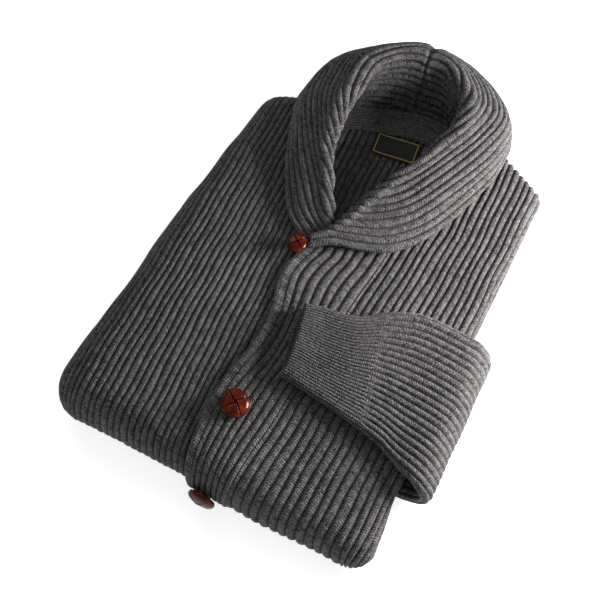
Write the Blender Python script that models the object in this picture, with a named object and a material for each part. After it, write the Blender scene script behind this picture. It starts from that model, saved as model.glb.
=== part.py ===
"""Shawl collar cardigan, folded for a shop table.

The garment lies face up, folded across the middle and in at the sides.  Each piece
of ribbed knit that shows is a wall of its own, with its ribs raised outside and a
plain face inside.  The layers nobody sees share one rounded solid under them.

Sizes are in millimetres in the garment's own frame: +X to the right of someone
facing it, +Y towards the collar, +Z up, and Z = 0 on the table.
"""
import math

import bmesh
import bpy
import numpy as np

MM = 0.001                  # one millimetre in metres

# --- knit -------------------------------------------------------------------
RIB_PITCH = 7.8             # one ridge and one groove of the body rib
WALL = 4.6                  # knit through a ridge
GROOVE_WALL = 2.8           # knit through a groove
SEAM_GAP = 0.3              # clearance between neighbouring pieces

# --- folded body ------------------------------------------------------------
# Bend line of the folds, anticlockwise from the lower left corner.  Inside it the
# cloth lies flat, outside it turns down.  low: height where the turn ends.
# crease: depth of the furrow between the upper and the lower half of the fold.
BEND_LINE = (
    # x,    y,   low, crease
    (-137, -157, 0, 0),
    (138, -190, 0, 0),
    (145, -132, 24, 0),
    (154, 150, 24, 0),
    (155, 194, 24, 0),
    (100, 228, 24, 0),
    (60, 240, 22, 0),
    (0, 231, 20, 0),
    (-60, 210, 20, 0),
    (-103.3, 184, 0, 0),
    (-109.2, 125, 0, 7),
    (-132.5, -110, 0, 7),
)
CREASE_HALF_WIDTH = 4.5     # of the furrow, up and down
CREASE_AT = 0.46            # its height, as a share of the fold's height
LAST_ANGLE = math.radians(168)  # past this turn the cloth runs on straight

# Height of the cloth under the right front, at three places each way.
HEIGHT_X = (5, 145)         # middle, half span
HEIGHT_Y = (10, 180)
HEIGHT = (
    # left, middle, right
    (62, 48, 30),           # bottom fold
    (57, 52, 37),           # chest
    (45, 43, 37),           # shoulders
)

# The edge ribs turn a little to follow the side folds.
LEAN_LEFT = 0.3
LEAN_RIGHT = 1.0
LEAN_START = 40             # distance from the middle where it begins
LEAN_WIDTH = 110            # distance over which it grows

HEM_CUT = 4.0               # the fronts' lower edges stand this far off the table
LIFT = WALL + SEAM_GAP      # the left front and its band lie on the right front
RIGHT_OWN = 3.0             # level of the right front's middle, which keeps its length
LEFT_OWN = 8.0              # the same of the left front
RIGHT_FRONT_EDGE = 20       # where the right front ends, under the band
RIGHT_FRONT_RIBS = 32
LEFT_FRONT_RIBS = 21
FOLD_TURNS = np.radians((156, 136, 116, 96, 76, 56, 36, 16, 0))
FLAT_ROWS = (0.04, 0.25, 0.5, 0.75, 1.0)
TOP_ROWS = (0.2, 0.4, 0.6, 0.8, 1.0)
NECK_ROWS = 9               # height of the last rows below the neckline
SHOULDER_TURN = math.radians(108)
CORNER_TURN = 0.3           # least turn, where the side fold has turned already
SHOULDER_START = 26         # width over which the shoulder's turn grows

# --- hidden layers ----------------------------------------------------------
LAYER_MIDDLE = (21, 10)
LAYER_GAP = 1.0
LAYER_CREASE = 0.45         # how much deeper its side furrow is than the front's
LAYER_RINGS = (0.2, 0.4, 0.6, 0.8)     # shares of the way out to the bend line
LAYER_TURNS = np.radians((0, 20, 40, 60, 80, 100, 120, 140))
# Outline of the lower layers' edges: bulge as a share of the fold, height share.
LAYER_EDGE = ((0, 1.05), (0.75, 0.95), (1, 0.78), (0.75, 0.56), (0.45, 0.5),
              (0.75, 0.44), (1, 0.25), (0.75, 0.06), (0.5, 0))
LAYER_CREASE_TURN = 1.7     # turn at which that furrow is deepest, in radians
LAYER_CREASE_SPREAD = 0.7
LAYER_TUCK = 10             # a plain edge runs this far back in under the fold
LAYERED_FROM, LAYERED_OVER = 12, 8     # an edge shows layers where low is above this
LAYER_PROUD = 2.5           # the layers reach this much further than the bend line
LAYER_ROUND = 5             # how much rounder they are than the fold above
STACK_CLEAR = 2.4           # between the stack of layers and the front's edge
SLOT_Y = (-150, -142, 32, 40)   # where the sleeve is tucked in: from, full, to
SLOT_DEPTH = 24
NECK_CLEAR = 2
NECK_BEHIND = 280           # the neck is open at the back, above FLOOR

# --- neck -------------------------------------------------------------------
NECKLINE_LEFT = ((-6, 60), (-20, 84), (-36, 110), (-52, 142), (-62, 172), (-66, 203))
NECKLINE_RIGHT = ((59.5, 75), (63, 95), (69, 125), (76, 155), (83, 190), (88, 228))
BACK_NECK = ((-66, 203), (-52, 214), (-33, 224.5), (-8, 233), (20, 239), (46, 239.5), (60, 237.5),
             (88, 228))
FLOOR = 38                  # underside of the back panel, inside the neck
PANEL_INSET = 4             # the back panel keeps this far inside the neckline
PANEL_TOP = 2.5             # and this far below the back neck

# --- button band of the left front --------------------------------------------
BAND_WALL = 5.6
BAND_GROOVE = 3.9
BAND_RIBS = 8
BAND_TOP = (46, 75)         # y of its top end, at the edge and at the seam
BAND_TURNS = np.radians((150, 128, 106, 84, 62, 40, 20, 0))
BAND_FLAT_ROWS = 10
BAND_EASE = 0.5             # it stands this much further off round the bottom fold
BAND_FOOT_WIDTH = 44        # its width where it turns round the bottom fold
BAND_EDGE = (
    # y,    x
    (46, -15), (32, -21), (15, -24.5), (-5, -22.5), (-25, -18), (-45, -16),
    (-65, -18), (-90, -23.5), (-115, -28), (-140, -30), (-165, -28), (-190, -26),
    (-215, -24), (-260, -22),
)
SEAM_TOP = (59.5, 75)       # seam of the band and the left front
SEAM_FOOT = (20.5, -215)

# --- shawl collar: rows from the front end round to the centre back seam ---------
# edge: outer edge of the fall.  top: crest of the roll.  seam: foot of the stand.
# roll: half width of the roll.  full: how far the fall bulges.  wall: thickness.
COLLAR_RIGHT_FRONT = (
    # edge,           top,             seam,           roll, full, wall
    ((-21, 49, 60.5), (2, 63, 62), (2, 60, 60), 3, 0, 4.6),
    ((-46, 72, 61), (-8, 82, 72), (-12, 78, 61), 6.5, 2, 6.2),
    ((-64, 103, 61), (-24, 112, 80), (-33, 110, 61), 7, 3, 6.6),
    ((-77, 140, 60), (-38, 143, 87), (-50, 144, 59), 8.5, 5, 6.6),
    ((-87, 178, 57), (-43, 180, 95), (-60, 178, 55), 11, 8, 6.6),
    ((-90, 208, 53), (-41, 210, 100), (-63, 205, 51), 12.5, 9, 6.6),
    ((-78, 239, 45), (-35, 236, 102), (-51, 219, 45), 13.5, 10, 6.6),
    ((-46, 268, 36), (-17, 256, 102), (-24, 231, 42), 14, 12, 6.6),
    ((-8, 284, 29), (4, 265, 102), (2, 238, 41), 14, 13, 6.6),
    ((18, 290, 26), (18, 267, 101.5), (18, 241, 41), 14, 13, 6.6),
)
COLLAR_LEFT_FRONT = (
    ((-11, 40, 69), (-12.5, 50, 70), (-9, 54, 69), 2, 0, 4.6),
    ((10, 52, 69), (1, 61, 73), (6, 64, 69), 3.5, 1, 5.2),
    ((36, 60, 66), (13, 79, 76), (23, 78, 67), 5.5, 2, 6.0),
    ((62, 70, 65), (24, 105.5, 79), (44, 98, 65), 7, 3, 6.6),
    ((84, 92, 63), (38, 132, 82), (60, 122, 63), 7, 4, 6.6),
    ((102, 128, 61), (54, 157, 86), (70, 148, 60), 8, 5, 6.6),
    ((116, 170, 59), (68, 184, 91), (78, 178, 57), 10, 7, 6.6),
    ((123, 210, 55), (79, 211, 96), (85, 206, 52), 12, 10, 6.6),
    ((117, 246, 45), (70, 240, 100), (76, 235, 45), 13, 13, 6.6),
    ((92, 276, 35), (50, 258, 102), (54, 241, 41), 14, 13, 6.6),
    ((54, 290, 28), (34, 265, 102), (36, 242, 41), 14, 13, 6.6),
    ((18, 290, 26), (18, 267, 101.5), (18, 241, 41), 14, 13, 6.6),
)
COLLAR_RIBS = 20
COLLAR_ROWS = 15
COLLAR_GROOVE = 1.7
ROLL_OUT, ROLL_DOWN = 0.9, 0.55     # side points of the roll, in half widths
CENTRE_BACK = 18

# --- neck tape and label --------------------------------------------------------
TAPE_WALL = 1.6
TAPE_DEPTH = 27
TAPE_TOP = 2.5              # below the neck seam
TAPE_FROM, TAPE_TO = -48, 76
LABEL_SIZE = (43, 22, 1.0)  # woven label: along the neck, down the back, thick
LABEL_AT = (18, 191)
LABEL_TURN = 3              # degrees

# --- left sleeve and cuff: rows from the mouth to the end tucked under the body ----
# far and near: the flattened tube's two edges in plan.  turn: degrees from lying
# flat on the body, through the side fold, to lying upside down under it.
CUFF_ROWS = (
    # far,         near,         rise, turn
    ((10, -17), (19, -91), 0, 0),
    ((46, -10), (61, -101), 0, 0),
    ((83, 4), (112, -112), 0, 0),
)
SLEEVE_ROWS = (
    ((84, 4), (113, -112), 0, 0),
    ((106, 12), (133, -120), 0, 0),
    ((128, 19), (148, -127), 0, 6),
)
SLEEVE_BEND = (161, 30.4, 23)  # side fold of the sleeve: axis x, axis z, radius
SLEEVE_TURNS = (15, 45, 75, 105, 135, 165, 180)
SLEEVE_ENDS_Y = ((22, -131), (24, -133), (22, -134), (18, -134), (14, -133),
                 (12, -132), (12, -132))
SLEEVE_TUCK = 14            # straight length under the body
SLEEVE_CLEAR = 0.5
SLEEVE_HALF = 6.3           # half the flattened tube's thickness
SLEEVE_WALL = 4.6
SLEEVE_GROOVE = 1.7
SLEEVE_RIBS = 28            # all round
CUFF_HALF = 5.6
CUFF_WALL = 3.9
CUFF_GROOVE = 1.0
CUFF_RIBS = 48

# --- buttons ----------------------------------------------------------------------
BUTTONS = (
    # diameter, dome, shank, seat level,       x,    y along the cloth
    (20, 6.1, 8.3, WALL, -22.5, 42),
    (28, 8.6, 2.4, LIFT + BAND_WALL, -6, -131),
    (28, 7.6, 2.4, LIFT + BAND_WALL, -3, -225),
)
BUTTON_RINGS = (0.18, 0.45, 0.72, 0.92, 1.0)    # shares of the radius
BUTTON_RIM = 0.35           # height of the dome's rim, as a share of the dome
BUTTON_UNDER = 0.72         # width of its flat underside, as a share of the radius
SHANK_RADIUS = 4
BUTTON_GROOVE = 0.9
BUTTON_DIMPLE = 0.6


# ------------------------------------------------------------------------------
# The folded surface
# ------------------------------------------------------------------------------
def parabola(low, middle, high, t):
    """Value of the parabola through low, middle and high at t = -1, 0 and 1."""
    return low * t * (t - 1) / 2 + middle * (1 - t * t) + high * t * (t + 1) / 2


def cloth_height(x, y):
    """Height of the flat cloth over the table."""
    across = (x - HEIGHT_X[0]) / HEIGHT_X[1]
    along = (y - HEIGHT_Y[0]) / HEIGHT_Y[1]
    rows = [parabola(*row, across) for row in HEIGHT]
    return parabola(*rows, along)


def fold_at(x, y):
    """Where a flat point leaves the bend line: foot, outward direction, distance.

    Also returns the low and crease values of the bend line there.
    """
    line = np.array(BEND_LINE, float)
    best = np.full(np.shape(x), np.inf)
    inside = np.ones(np.shape(x), bool)
    found = [np.zeros(np.shape(x)) for _ in range(4)]
    for a, b in zip(line, np.roll(line, -1, axis=0)):
        ex, ey = b[:2] - a[:2]
        length2 = ex * ex + ey * ey
        inside &= (x - a[0]) * ey - (y - a[1]) * ex <= 0
        t = np.clip(((x - a[0]) * ex + (y - a[1]) * ey) / length2, 0, 1)
        foot_x = a[0] + t * ex
        foot_y = a[1] + t * ey
        dist = np.hypot(x - foot_x, y - foot_y)
        nearer = dist < best
        best = np.where(nearer, dist, best)
        values = (foot_x, foot_y, a[2] + t * (b[2] - a[2]), a[3] + t * (b[3] - a[3]))
        found = [np.where(nearer, new, old) for new, old in zip(values, found)]
    dist = np.where(inside, 0.0, best)
    safe = np.maximum(dist, 1e-9)
    out_x = np.where(inside, 0.0, (x - found[0]) / safe)
    out_y = np.where(inside, 0.0, (y - found[1]) / safe)
    foot_x = np.where(inside, x, found[0])
    foot_y = np.where(inside, y, found[1])
    return foot_x, foot_y, out_x, out_y, dist, found[2], found[3]


def fold_radius(x, y, low):
    """Bending radius of the under surface where it leaves the bend line."""
    return (cloth_height(x, y) - low) / 2


def around_fold(foot_x, foot_y, out_x, out_y, angle, low, crease, level):
    """Point level above the under surface, angle round the fold (0 is flat)."""
    radius = fold_radius(foot_x, foot_y, low)
    middle = low + radius
    off_crease = middle + radius * np.cos(angle) - low - 2 * radius * CREASE_AT
    lift = level - crease * np.exp(-(off_crease / CREASE_HALF_WIDTH) ** 2)
    reach = (radius + lift) * np.sin(angle)
    z = middle + (radius + lift) * np.cos(angle)
    return np.stack([foot_x + out_x * reach, foot_y + out_y * reach, z], axis=-1)


def drape(x, y, level, own):
    """Folded position of the cloth point (x, y), level above the under surface.

    own: level of the cloth's middle, which keeps its length round the folds.
    """
    x, y, level = np.broadcast_arrays(
        np.asarray(x, float), np.asarray(y, float), np.asarray(level, float))
    foot_x, foot_y, out_x, out_y, dist, low, crease = fold_at(x, y)
    bend = fold_radius(foot_x, foot_y, low) + own
    angle = np.minimum(dist / bend, LAST_ANGLE)
    beyond = np.maximum(dist - angle * bend, 0)
    points = around_fold(foot_x, foot_y, out_x, out_y, angle, low, crease, level)
    points[..., 0] += out_x * beyond * math.cos(LAST_ANGLE)
    points[..., 1] += out_y * beyond * math.cos(LAST_ANGLE)
    points[..., 2] -= beyond * math.sin(LAST_ANGLE)
    return points


def smooth(t):
    """Ease from 0 to 1 as t goes from 0 to 1."""
    t = np.clip(t, 0, 1)
    return t * t * (3 - 2 * t)


def edge_x(y, side):
    """x of the left (-1) or right (1) bend line, straight from corner to corner."""
    line = BEND_LINE
    foot, head = (line[0], line[9]) if side < 0 else (line[2], line[4])
    return foot[0] + (head[0] - foot[0]) * (y - foot[1]) / (head[1] - foot[1])


def lean(wale, y):
    """x of a wale at y: the ribs near a side fold turn part of the way with it."""
    side = np.where(wale < 0, -1, 1)
    left = (edge_x(y, -1) - edge_x(0.0, -1)) * LEAN_LEFT
    right = (edge_x(y, 1) - edge_x(0.0, 1)) * LEAN_RIGHT
    shift = np.where(side < 0, left, right)
    return wale + shift * smooth((np.abs(wale) - LEAN_START) / LEAN_WIDTH)


def along(line, value):
    """Smooth reading of a two-column table: cubic through its points."""
    keys = np.array([row[0] for row in line], float)
    vals = np.array([row[1] for row in line], float)
    if keys[0] > keys[-1]:
        keys, vals = keys[::-1], vals[::-1]
    slopes = np.gradient(vals, keys)
    value = np.clip(value, keys[0], keys[-1])
    i = np.clip(np.searchsorted(keys, value, side="right") - 1, 0, len(keys) - 2)
    span = keys[i + 1] - keys[i]
    t = (value - keys[i]) / span
    h00 = (1 + 2 * t) * (1 - t) ** 2
    h10 = t * (1 - t) ** 2
    h01 = t * t * (3 - 2 * t)
    h11 = t * t * (t - 1)
    return (h00 * vals[i] + h10 * span * slopes[i]
            + h01 * vals[i + 1] + h11 * span * slopes[i + 1])


# ------------------------------------------------------------------------------
# Mesh helpers
# ------------------------------------------------------------------------------
def material(name, colour, roughness):
    """Plain surface of one colour."""
    mat = bpy.data.materials.get(name) or bpy.data.materials.new(name)
    mat.use_nodes = True
    shader = mat.node_tree.nodes["Principled BSDF"]
    shader.inputs["Base Color"].default_value = (*colour, 1)
    shader.inputs["Roughness"].default_value = roughness
    shader.inputs["Metallic"].default_value = 0
    return mat


KNIT = ("charcoal_knit", (0.045, 0.045, 0.048), 0.95)
LEATHER = ("brown_leather", (0.17, 0.035, 0.012), 0.25)
TAPE = ("dark_tape", (0.03, 0.03, 0.032), 0.9)
LABEL = ("label_weave", (0.012, 0.016, 0.012), 0.8)


def new_object(name, points, faces, look, cuts=()):
    """Closed mesh object from points in millimetres.

    cuts: planes (point, normal); what lies on the normal's side is cut away and
    the cut is closed with a flat face.
    """
    mesh = bpy.data.meshes.new(name)
    mesh.from_pydata((np.asarray(points) * MM).tolist(), [], faces)
    bm = bmesh.new()
    bm.from_mesh(mesh)
    for point, normal in cuts:
        where = [v * MM for v in point]
        bmesh.ops.bisect_plane(
            bm, geom=bm.verts[:] + bm.edges[:] + bm.faces[:], dist=1e-7,
            plane_co=where, plane_no=normal, clear_outer=True)
        rim = [edge for edge in bm.edges if edge.is_boundary]
        bmesh.ops.edgeloop_fill(bm, edges=rim)
    bmesh.ops.recalc_face_normals(bm, faces=bm.faces[:])
    bm.to_mesh(mesh)
    bm.free()
    mesh.shade_smooth()
    mesh.set_sharp_from_angle(angle=math.radians(40))
    obj = bpy.data.objects.new(name, mesh)
    bpy.context.scene.collection.objects.link(obj)
    mesh.materials.append(material(*look))
    return obj


def ribbed_wall(name, outer, inner, look, closed=False, cuts=()):
    """Wall of ribbed knit: a fine outer sheet over a plain inner one.

    outer: (2n+1, rows, 3) points, ridge and groove in turn; closed: (2n, ...).
    inner: the points under the ridges.  A closed wall is a tube, open at both ends.
    """
    columns, rows = outer.shape[:2]
    ridges = inner.shape[0]
    points = np.concatenate([outer.reshape(-1, 3), inner.reshape(-1, 3)])

    def out(c, r):
        return (c % columns) * rows + r

    def inn(c, r):
        return columns * rows + (c % ridges) * rows + r

    faces = []
    spans = columns if closed else columns - 1
    for c in range(spans):
        for r in range(rows - 1):
            faces.append((out(c, r), out(c + 1, r), out(c + 1, r + 1), out(c, r + 1)))
    inner_spans = ridges if closed else ridges - 1
    for c in range(inner_spans):
        for r in range(rows - 1):
            faces.append((inn(c, r), inn(c, r + 1), inn(c + 1, r + 1), inn(c + 1, r)))
        for r, turn in ((0, 1), (rows - 1, -1)):
            rim = (out(2 * c, r), inn(c, r), inn(c + 1, r), out(2 * c + 2, r),
                   out(2 * c + 1, r))
            faces.append(rim[::turn])
    if not closed:
        for c, k, turn in ((0, 0, 1), (columns - 1, ridges - 1, -1)):
            for r in range(rows - 1):
                rim = (out(c, r), out(c, r + 1), inn(k, r + 1), inn(k, r))
                faces.append(rim[::turn])
    return new_object(name, points, faces, look, cuts)


# ------------------------------------------------------------------------------
# Fronts, back and hidden layers
# ------------------------------------------------------------------------------


def polyline_y(line, x):
    """y of a polyline of (x, y) rows, which run in rising or falling x."""
    pts = sorted((row[0], row[1]) for row in line)
    return np.interp(x, [p[0] for p in pts], [p[1] for p in pts])


def low_at(x, top):
    """low value of the upper (top) or lower bend line at x."""
    rows = BEND_LINE[4:10] if top else BEND_LINE[:2]
    pts = sorted((row[0], row[2]) for row in rows)
    return np.interp(x, [p[0] for p in pts], [p[1] for p in pts])


def front_rows(wale, neckline, own):
    """y of every row of one wale, from under the bottom fold up to its top edge.

    Outside the neckline the top edge turns down over the shoulder; the turn grows
    from nothing at the neck point.
    """
    foot_x = np.clip(wale, BEND_LINE[0][0], BEND_LINE[1][0])
    foot_y = polyline_y(BEND_LINE[:2], foot_x)
    bend = fold_radius(foot_x, foot_y, low_at(foot_x, False)) + own
    rows = [foot_y - turn * bend for turn in FOLD_TURNS]
    head_x = np.clip(wale, BEND_LINE[9][0], BEND_LINE[4][0])
    head_y = polyline_y(BEND_LINE[4:10], head_x)
    bend = fold_radius(head_x, head_y, low_at(head_x, True)) + own
    neck_point = neckline[-1][0]
    past = (abs(wale) - abs(neck_point)) / SHOULDER_START
    if past > 0:
        share = smooth(past)
        round_side = max(0, abs(wale) - abs(head_x)) / bend
        turn = math.sqrt(max(SHOULDER_TURN ** 2 - round_side ** 2, CORNER_TURN ** 2))
        end = head_y + share * turn * bend
        flat_end = head_y - (1 - share) * NECK_ROWS
    else:
        end = polyline_y(neckline, wale)
        flat_end = end - NECK_ROWS
    rows += [foot_y + (flat_end - foot_y) * share for share in FLAT_ROWS]
    rows += [flat_end + (end - flat_end) * share for share in TOP_ROWS]
    return np.array(rows)


def front_panel(name, wales, neckline, level, own, cuts):
    """Front panel: ribs outside, plain inside, wrapped round the folds."""
    rows = np.array([front_rows(wale, neckline, own) for wale in wales])
    x = lean(wales[:, None], rows)
    ribs = np.where(np.arange(len(wales)) % 2 == 0, WALL, GROOVE_WALL)
    outer = drape(x, rows, level + ribs[:, None], own)
    inner = drape(x[::2], rows[::2], level, own)
    return ribbed_wall(name, outer, inner, KNIT, cuts=cuts)


def seam_direction():
    """Unit vectors along the band seam (upwards) and across it (to the right)."""
    up = np.subtract(SEAM_TOP, SEAM_FOOT)
    up = up / np.hypot(*up)
    return up, np.array([up[1], -up[0]])


def right_front():
    """Wearer's right front: it lies under the band and wraps the left fold."""
    last = RIGHT_FRONT_EDGE - SEAM_GAP
    count = RIGHT_FRONT_RIBS * 2
    wales = last - RIB_PITCH / 2 * np.arange(count, -1, -1)
    table = ((0, 0, HEM_CUT), (0, 0, -1))
    return front_panel("right_front", wales, NECKLINE_LEFT, 0, RIGHT_OWN, (table,))


def left_front():
    """Wearer's left front: it ends at the band's seam and wraps the right fold."""
    count = LEFT_FRONT_RIBS * 2
    wales = RIGHT_FRONT_EDGE + SEAM_GAP + RIB_PITCH / 2 * np.arange(count + 1)
    _, right = seam_direction()
    table = ((0, 0, HEM_CUT), (0, 0, -1))
    seam = ((*SEAM_TOP, 0), (-right[0], -right[1], 0))
    return front_panel("left_front", wales, NECKLINE_RIGHT, LIFT, LEFT_OWN,
                       (table, seam))


def back():
    """Inside of the back, seen through the neck: ribs up, flat on the layers."""
    first, last = NECKLINE_LEFT[-1][0] + 2 * PANEL_INSET, NECKLINE_RIGHT[-1][0]
    count = int((last - 2 * PANEL_INSET - first) / RIB_PITCH)
    wales = first + RIB_PITCH / 2 * np.arange(2 * count + 1)
    throat = (NECKLINE_LEFT[0], NECKLINE_RIGHT[0])
    low = np.maximum.reduce([
        polyline_y(NECKLINE_LEFT, np.minimum(wales - PANEL_INSET, throat[0][0])),
        polyline_y(NECKLINE_RIGHT, np.maximum(wales + PANEL_INSET, throat[1][0])),
        polyline_y(throat, wales) + PANEL_INSET])
    high = polyline_y(BACK_NECK, wales) - PANEL_TOP
    shares = np.linspace(0, 1, 4)
    y = low[:, None] + (high - low)[:, None] * shares
    ribs = np.where(np.arange(len(wales)) % 2 == 0, WALL, GROOVE_WALL)
    x = np.repeat(wales[:, None], len(shares), axis=1)
    z = FLOOR + np.repeat(ribs[:, None], len(shares), axis=1)
    outer = np.stack([x, y, z], axis=-1)
    inner = np.stack([x, y, np.full_like(z, FLOOR)], axis=-1)[::2]
    return ribbed_wall("back", outer, inner, KNIT)


def bend_samples():
    """Points round the bend line: foot, outward direction, low, crease, slot.

    The corners fan out.  slot is 1 where the sleeve is tucked under the body.
    """
    line = np.array(BEND_LINE, float)
    edges = np.roll(line, -1, axis=0) - line
    heading = np.arctan2(edges[:, 1], edges[:, 0])
    samples = []
    for i, corner in enumerate(line):
        turn_in = heading[i - 1]
        turn = (heading[i] - turn_in + math.pi) % (2 * math.pi) - math.pi
        steps = max(1, round(abs(turn) / math.radians(22)))
        for k in range(steps + 1):
            facing = turn_in + turn * k / steps - math.pi / 2
            samples.append((*corner[:2], math.cos(facing), math.sin(facing),
                            corner[2], corner[3], 0))
        edge = edges[i]
        steps = max(1, round(np.hypot(*edge[:2]) / 38), round(abs(edge[2]) / 5))
        shares = {k / steps for k in range(1, steps)}
        step_x = [RIGHT_FRONT_EDGE + past for past in (0, 2, 8, 10)]
        if abs(edge[0]) > 50 and min(corner[0], corner[0] + edge[0]) < step_x[0]:
            at = [(x - corner[0]) / edge[0] for x in step_x]
            at = [t for t in at if 0 < t < 1]
            shares = {t for t in shares if all(abs(t - s) > 0.05 for s in at)}
            shares.update(at)
        slot_y = None
        if corner[0] > 140 and edge[1] > 200:
            slot_y = [(y - corner[1]) / edge[1] for y in SLOT_Y]
            shares = {t for t in shares if all(abs(t - s) > 0.03 for s in slot_y)}
            shares.update(slot_y)
        facing = heading[i] - math.pi / 2
        for t in sorted(shares):
            here = corner + edge * t
            slot = 1 if slot_y and slot_y[1] - 1e-6 <= t <= slot_y[2] + 1e-6 else 0
            samples.append((*here[:2], math.cos(facing), math.sin(facing),
                            here[2], here[3], slot))
    return np.array(samples)


def hidden_layers():
    """Everything folded out of sight: one rounded solid, layered at its edges."""
    foot_x, foot_y, out_x, out_y, low, crease, slot = bend_samples().T
    level = np.where(foot_x > RIGHT_FRONT_EDGE + 1, LIFT, 0.0) - LAYER_GAP
    rings = []
    for share in LAYER_RINGS:
        x = LAYER_MIDDLE[0] + (foot_x - LAYER_MIDDLE[0]) * share
        y = LAYER_MIDDLE[1] + (foot_y - LAYER_MIDDLE[1]) * share
        rings.append(np.stack([x, y, cloth_height(x, y) + level], axis=-1))
    for turn in LAYER_TURNS:
        step = RIGHT_FRONT_EDGE + (1 if turn == 0 else 9)
        level = np.where(foot_x > step, LIFT, 0.0) - LAYER_GAP
        inset = (LAYER_GAP * smooth(turn / 0.35)
                 + LAYER_CREASE * crease
                 * math.exp(-((turn - LAYER_CREASE_TURN) / LAYER_CREASE_SPREAD) ** 2))
        rings.append(around_fold(foot_x, foot_y, out_x, out_y, turn, low, crease,
                                 level - inset))
    last = rings[-1]
    last_reach = ((last[:, 0] - foot_x) * out_x + (last[:, 1] - foot_y) * out_y)
    layered = np.clip((low - LAYERED_FROM) / LAYERED_OVER, 0, 1)
    stack = np.maximum(low - LEFT_OWN - STACK_CLEAR, 1)
    radius = fold_radius(foot_x, foot_y, low)
    for k, (bulge, rise) in enumerate(LAYER_EDGE):
        plain_reach = last_reach - LAYER_TUCK * (k + 1) / len(LAYER_EDGE)
        plain_z = last[:, 2] * (1 - (k + 1) / len(LAYER_EDGE))
        layer_reach = LAYER_PROUD + bulge * (radius + LAYER_ROUND)
        layer_reach = np.where(slot > 0, -SLOT_DEPTH, layer_reach)
        reach = plain_reach + layered * (layer_reach - plain_reach)
        z = plain_z + layered * (rise * stack - plain_z)
        rings.append(np.stack([foot_x + out_x * reach, foot_y + out_y * reach, z],
                              axis=-1))
    count = len(foot_x)
    points = [np.array([[*LAYER_MIDDLE, cloth_height(*LAYER_MIDDLE) - LAYER_GAP]])]
    points = np.concatenate(points + rings)
    faces = []
    for k in range(count):
        nxt = (k + 1) % count
        faces.append((0, 1 + k, 1 + nxt))
        for ring in range(len(rings) - 1):
            a = 1 + ring * count
            faces.append((a + k, a + count + k, a + count + nxt, a + nxt))
    last_ring = 1 + (len(rings) - 1) * count
    faces.append(tuple(last_ring + k for k in reversed(range(count))))
    body = new_object("hidden_layers", points, faces, KNIT)
    pocket = body.modifiers.new("neck", "BOOLEAN")
    pocket.operation = "DIFFERENCE"
    pocket.solver = "EXACT"
    pocket.object = neck_cutter()
    return body


def neck_cutter():
    """Prism that empties the neck down to the back panel."""
    ring = [(x - NECK_CLEAR, y) for x, y in NECKLINE_LEFT[::-1]]
    ring[-1] = (ring[-1][0], ring[-1][1] - NECK_CLEAR)
    ring += [(x + NECK_CLEAR, y) for x, y in NECKLINE_RIGHT]
    ring += [(ring[-1][0], NECK_BEHIND), (ring[0][0], NECK_BEHIND)]
    count = len(ring)
    points = [(x, y, FLOOR - SEAM_GAP) for x, y in ring] + [(x, y, 100) for x, y in ring]
    faces = [tuple(reversed(range(count))), tuple(range(count, 2 * count))]
    for k in range(count):
        nxt = (k + 1) % count
        faces.append((k, nxt, nxt + count, k + count))
    cutter = new_object("neck_cutter", points, faces, KNIT)
    cutter.hide_render = True
    cutter.display_type = "WIRE"
    return cutter


# ------------------------------------------------------------------------------
# Button band
# ------------------------------------------------------------------------------
def seam_x(y):
    """x of the band seam at y, before any fold."""
    share = (y - SEAM_FOOT[1]) / (SEAM_TOP[1] - SEAM_FOOT[1])
    return SEAM_FOOT[0] + share * (SEAM_TOP[0] - SEAM_FOOT[0])


def seam_wale(y):
    """x on the flat cloth whose folded place lies just left of the seam's cut."""
    _, right = seam_direction()
    x = seam_x(y)
    for _ in range(6):
        placed = drape(x, y, LIFT + BAND_WALL, LEFT_OWN)
        off = ((placed[..., 0] - SEAM_TOP[0]) * right[0]
               + (placed[..., 1] - SEAM_TOP[1]) * right[1])
        x = x - (off + SEAM_GAP)
    return x


def band_rows(share):
    """y of every row of the band, at a share of the way from edge to seam."""
    top = BAND_TOP[0] + (BAND_TOP[1] - BAND_TOP[0]) * share
    foot_x = BAND_EDGE[-1][1] + BAND_FOOT_WIDTH * share
    foot_y = float(polyline_y(BEND_LINE[:2], foot_x))
    bend = fold_radius(foot_x, foot_y, 0) + LEFT_OWN
    rows = [foot_y - turn * bend for turn in BAND_TURNS]
    flat = np.linspace(foot_y, top, BAND_FLAT_ROWS + 1)[1:]
    return np.array(rows + list(flat))


def left_button_band():
    """Band knitted along the left front's edge, on top of the right front."""
    shares = np.linspace(0, 1, 2 * BAND_RIBS + 1)
    y = np.array([band_rows(share) for share in shares])
    edge = along(BAND_EDGE, y)
    x = edge + (seam_wale(y) - edge) * shares[:, None]
    ribs = np.where(np.arange(len(shares)) % 2 == 0, BAND_WALL, BAND_GROOVE)
    turned = np.concatenate([smooth(BAND_TURNS / 0.5), np.zeros(BAND_FLAT_ROWS)])
    lift = LIFT + BAND_EASE * turned
    outer = drape(x, y, lift + ribs[:, None], LEFT_OWN)
    inner = drape(x[::2], y[::2], lift, LEFT_OWN)
    table = ((0, 0, HEM_CUT), (0, 0, -1))
    return ribbed_wall("left_button_band", outer, inner, KNIT, cuts=(table,))


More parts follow.
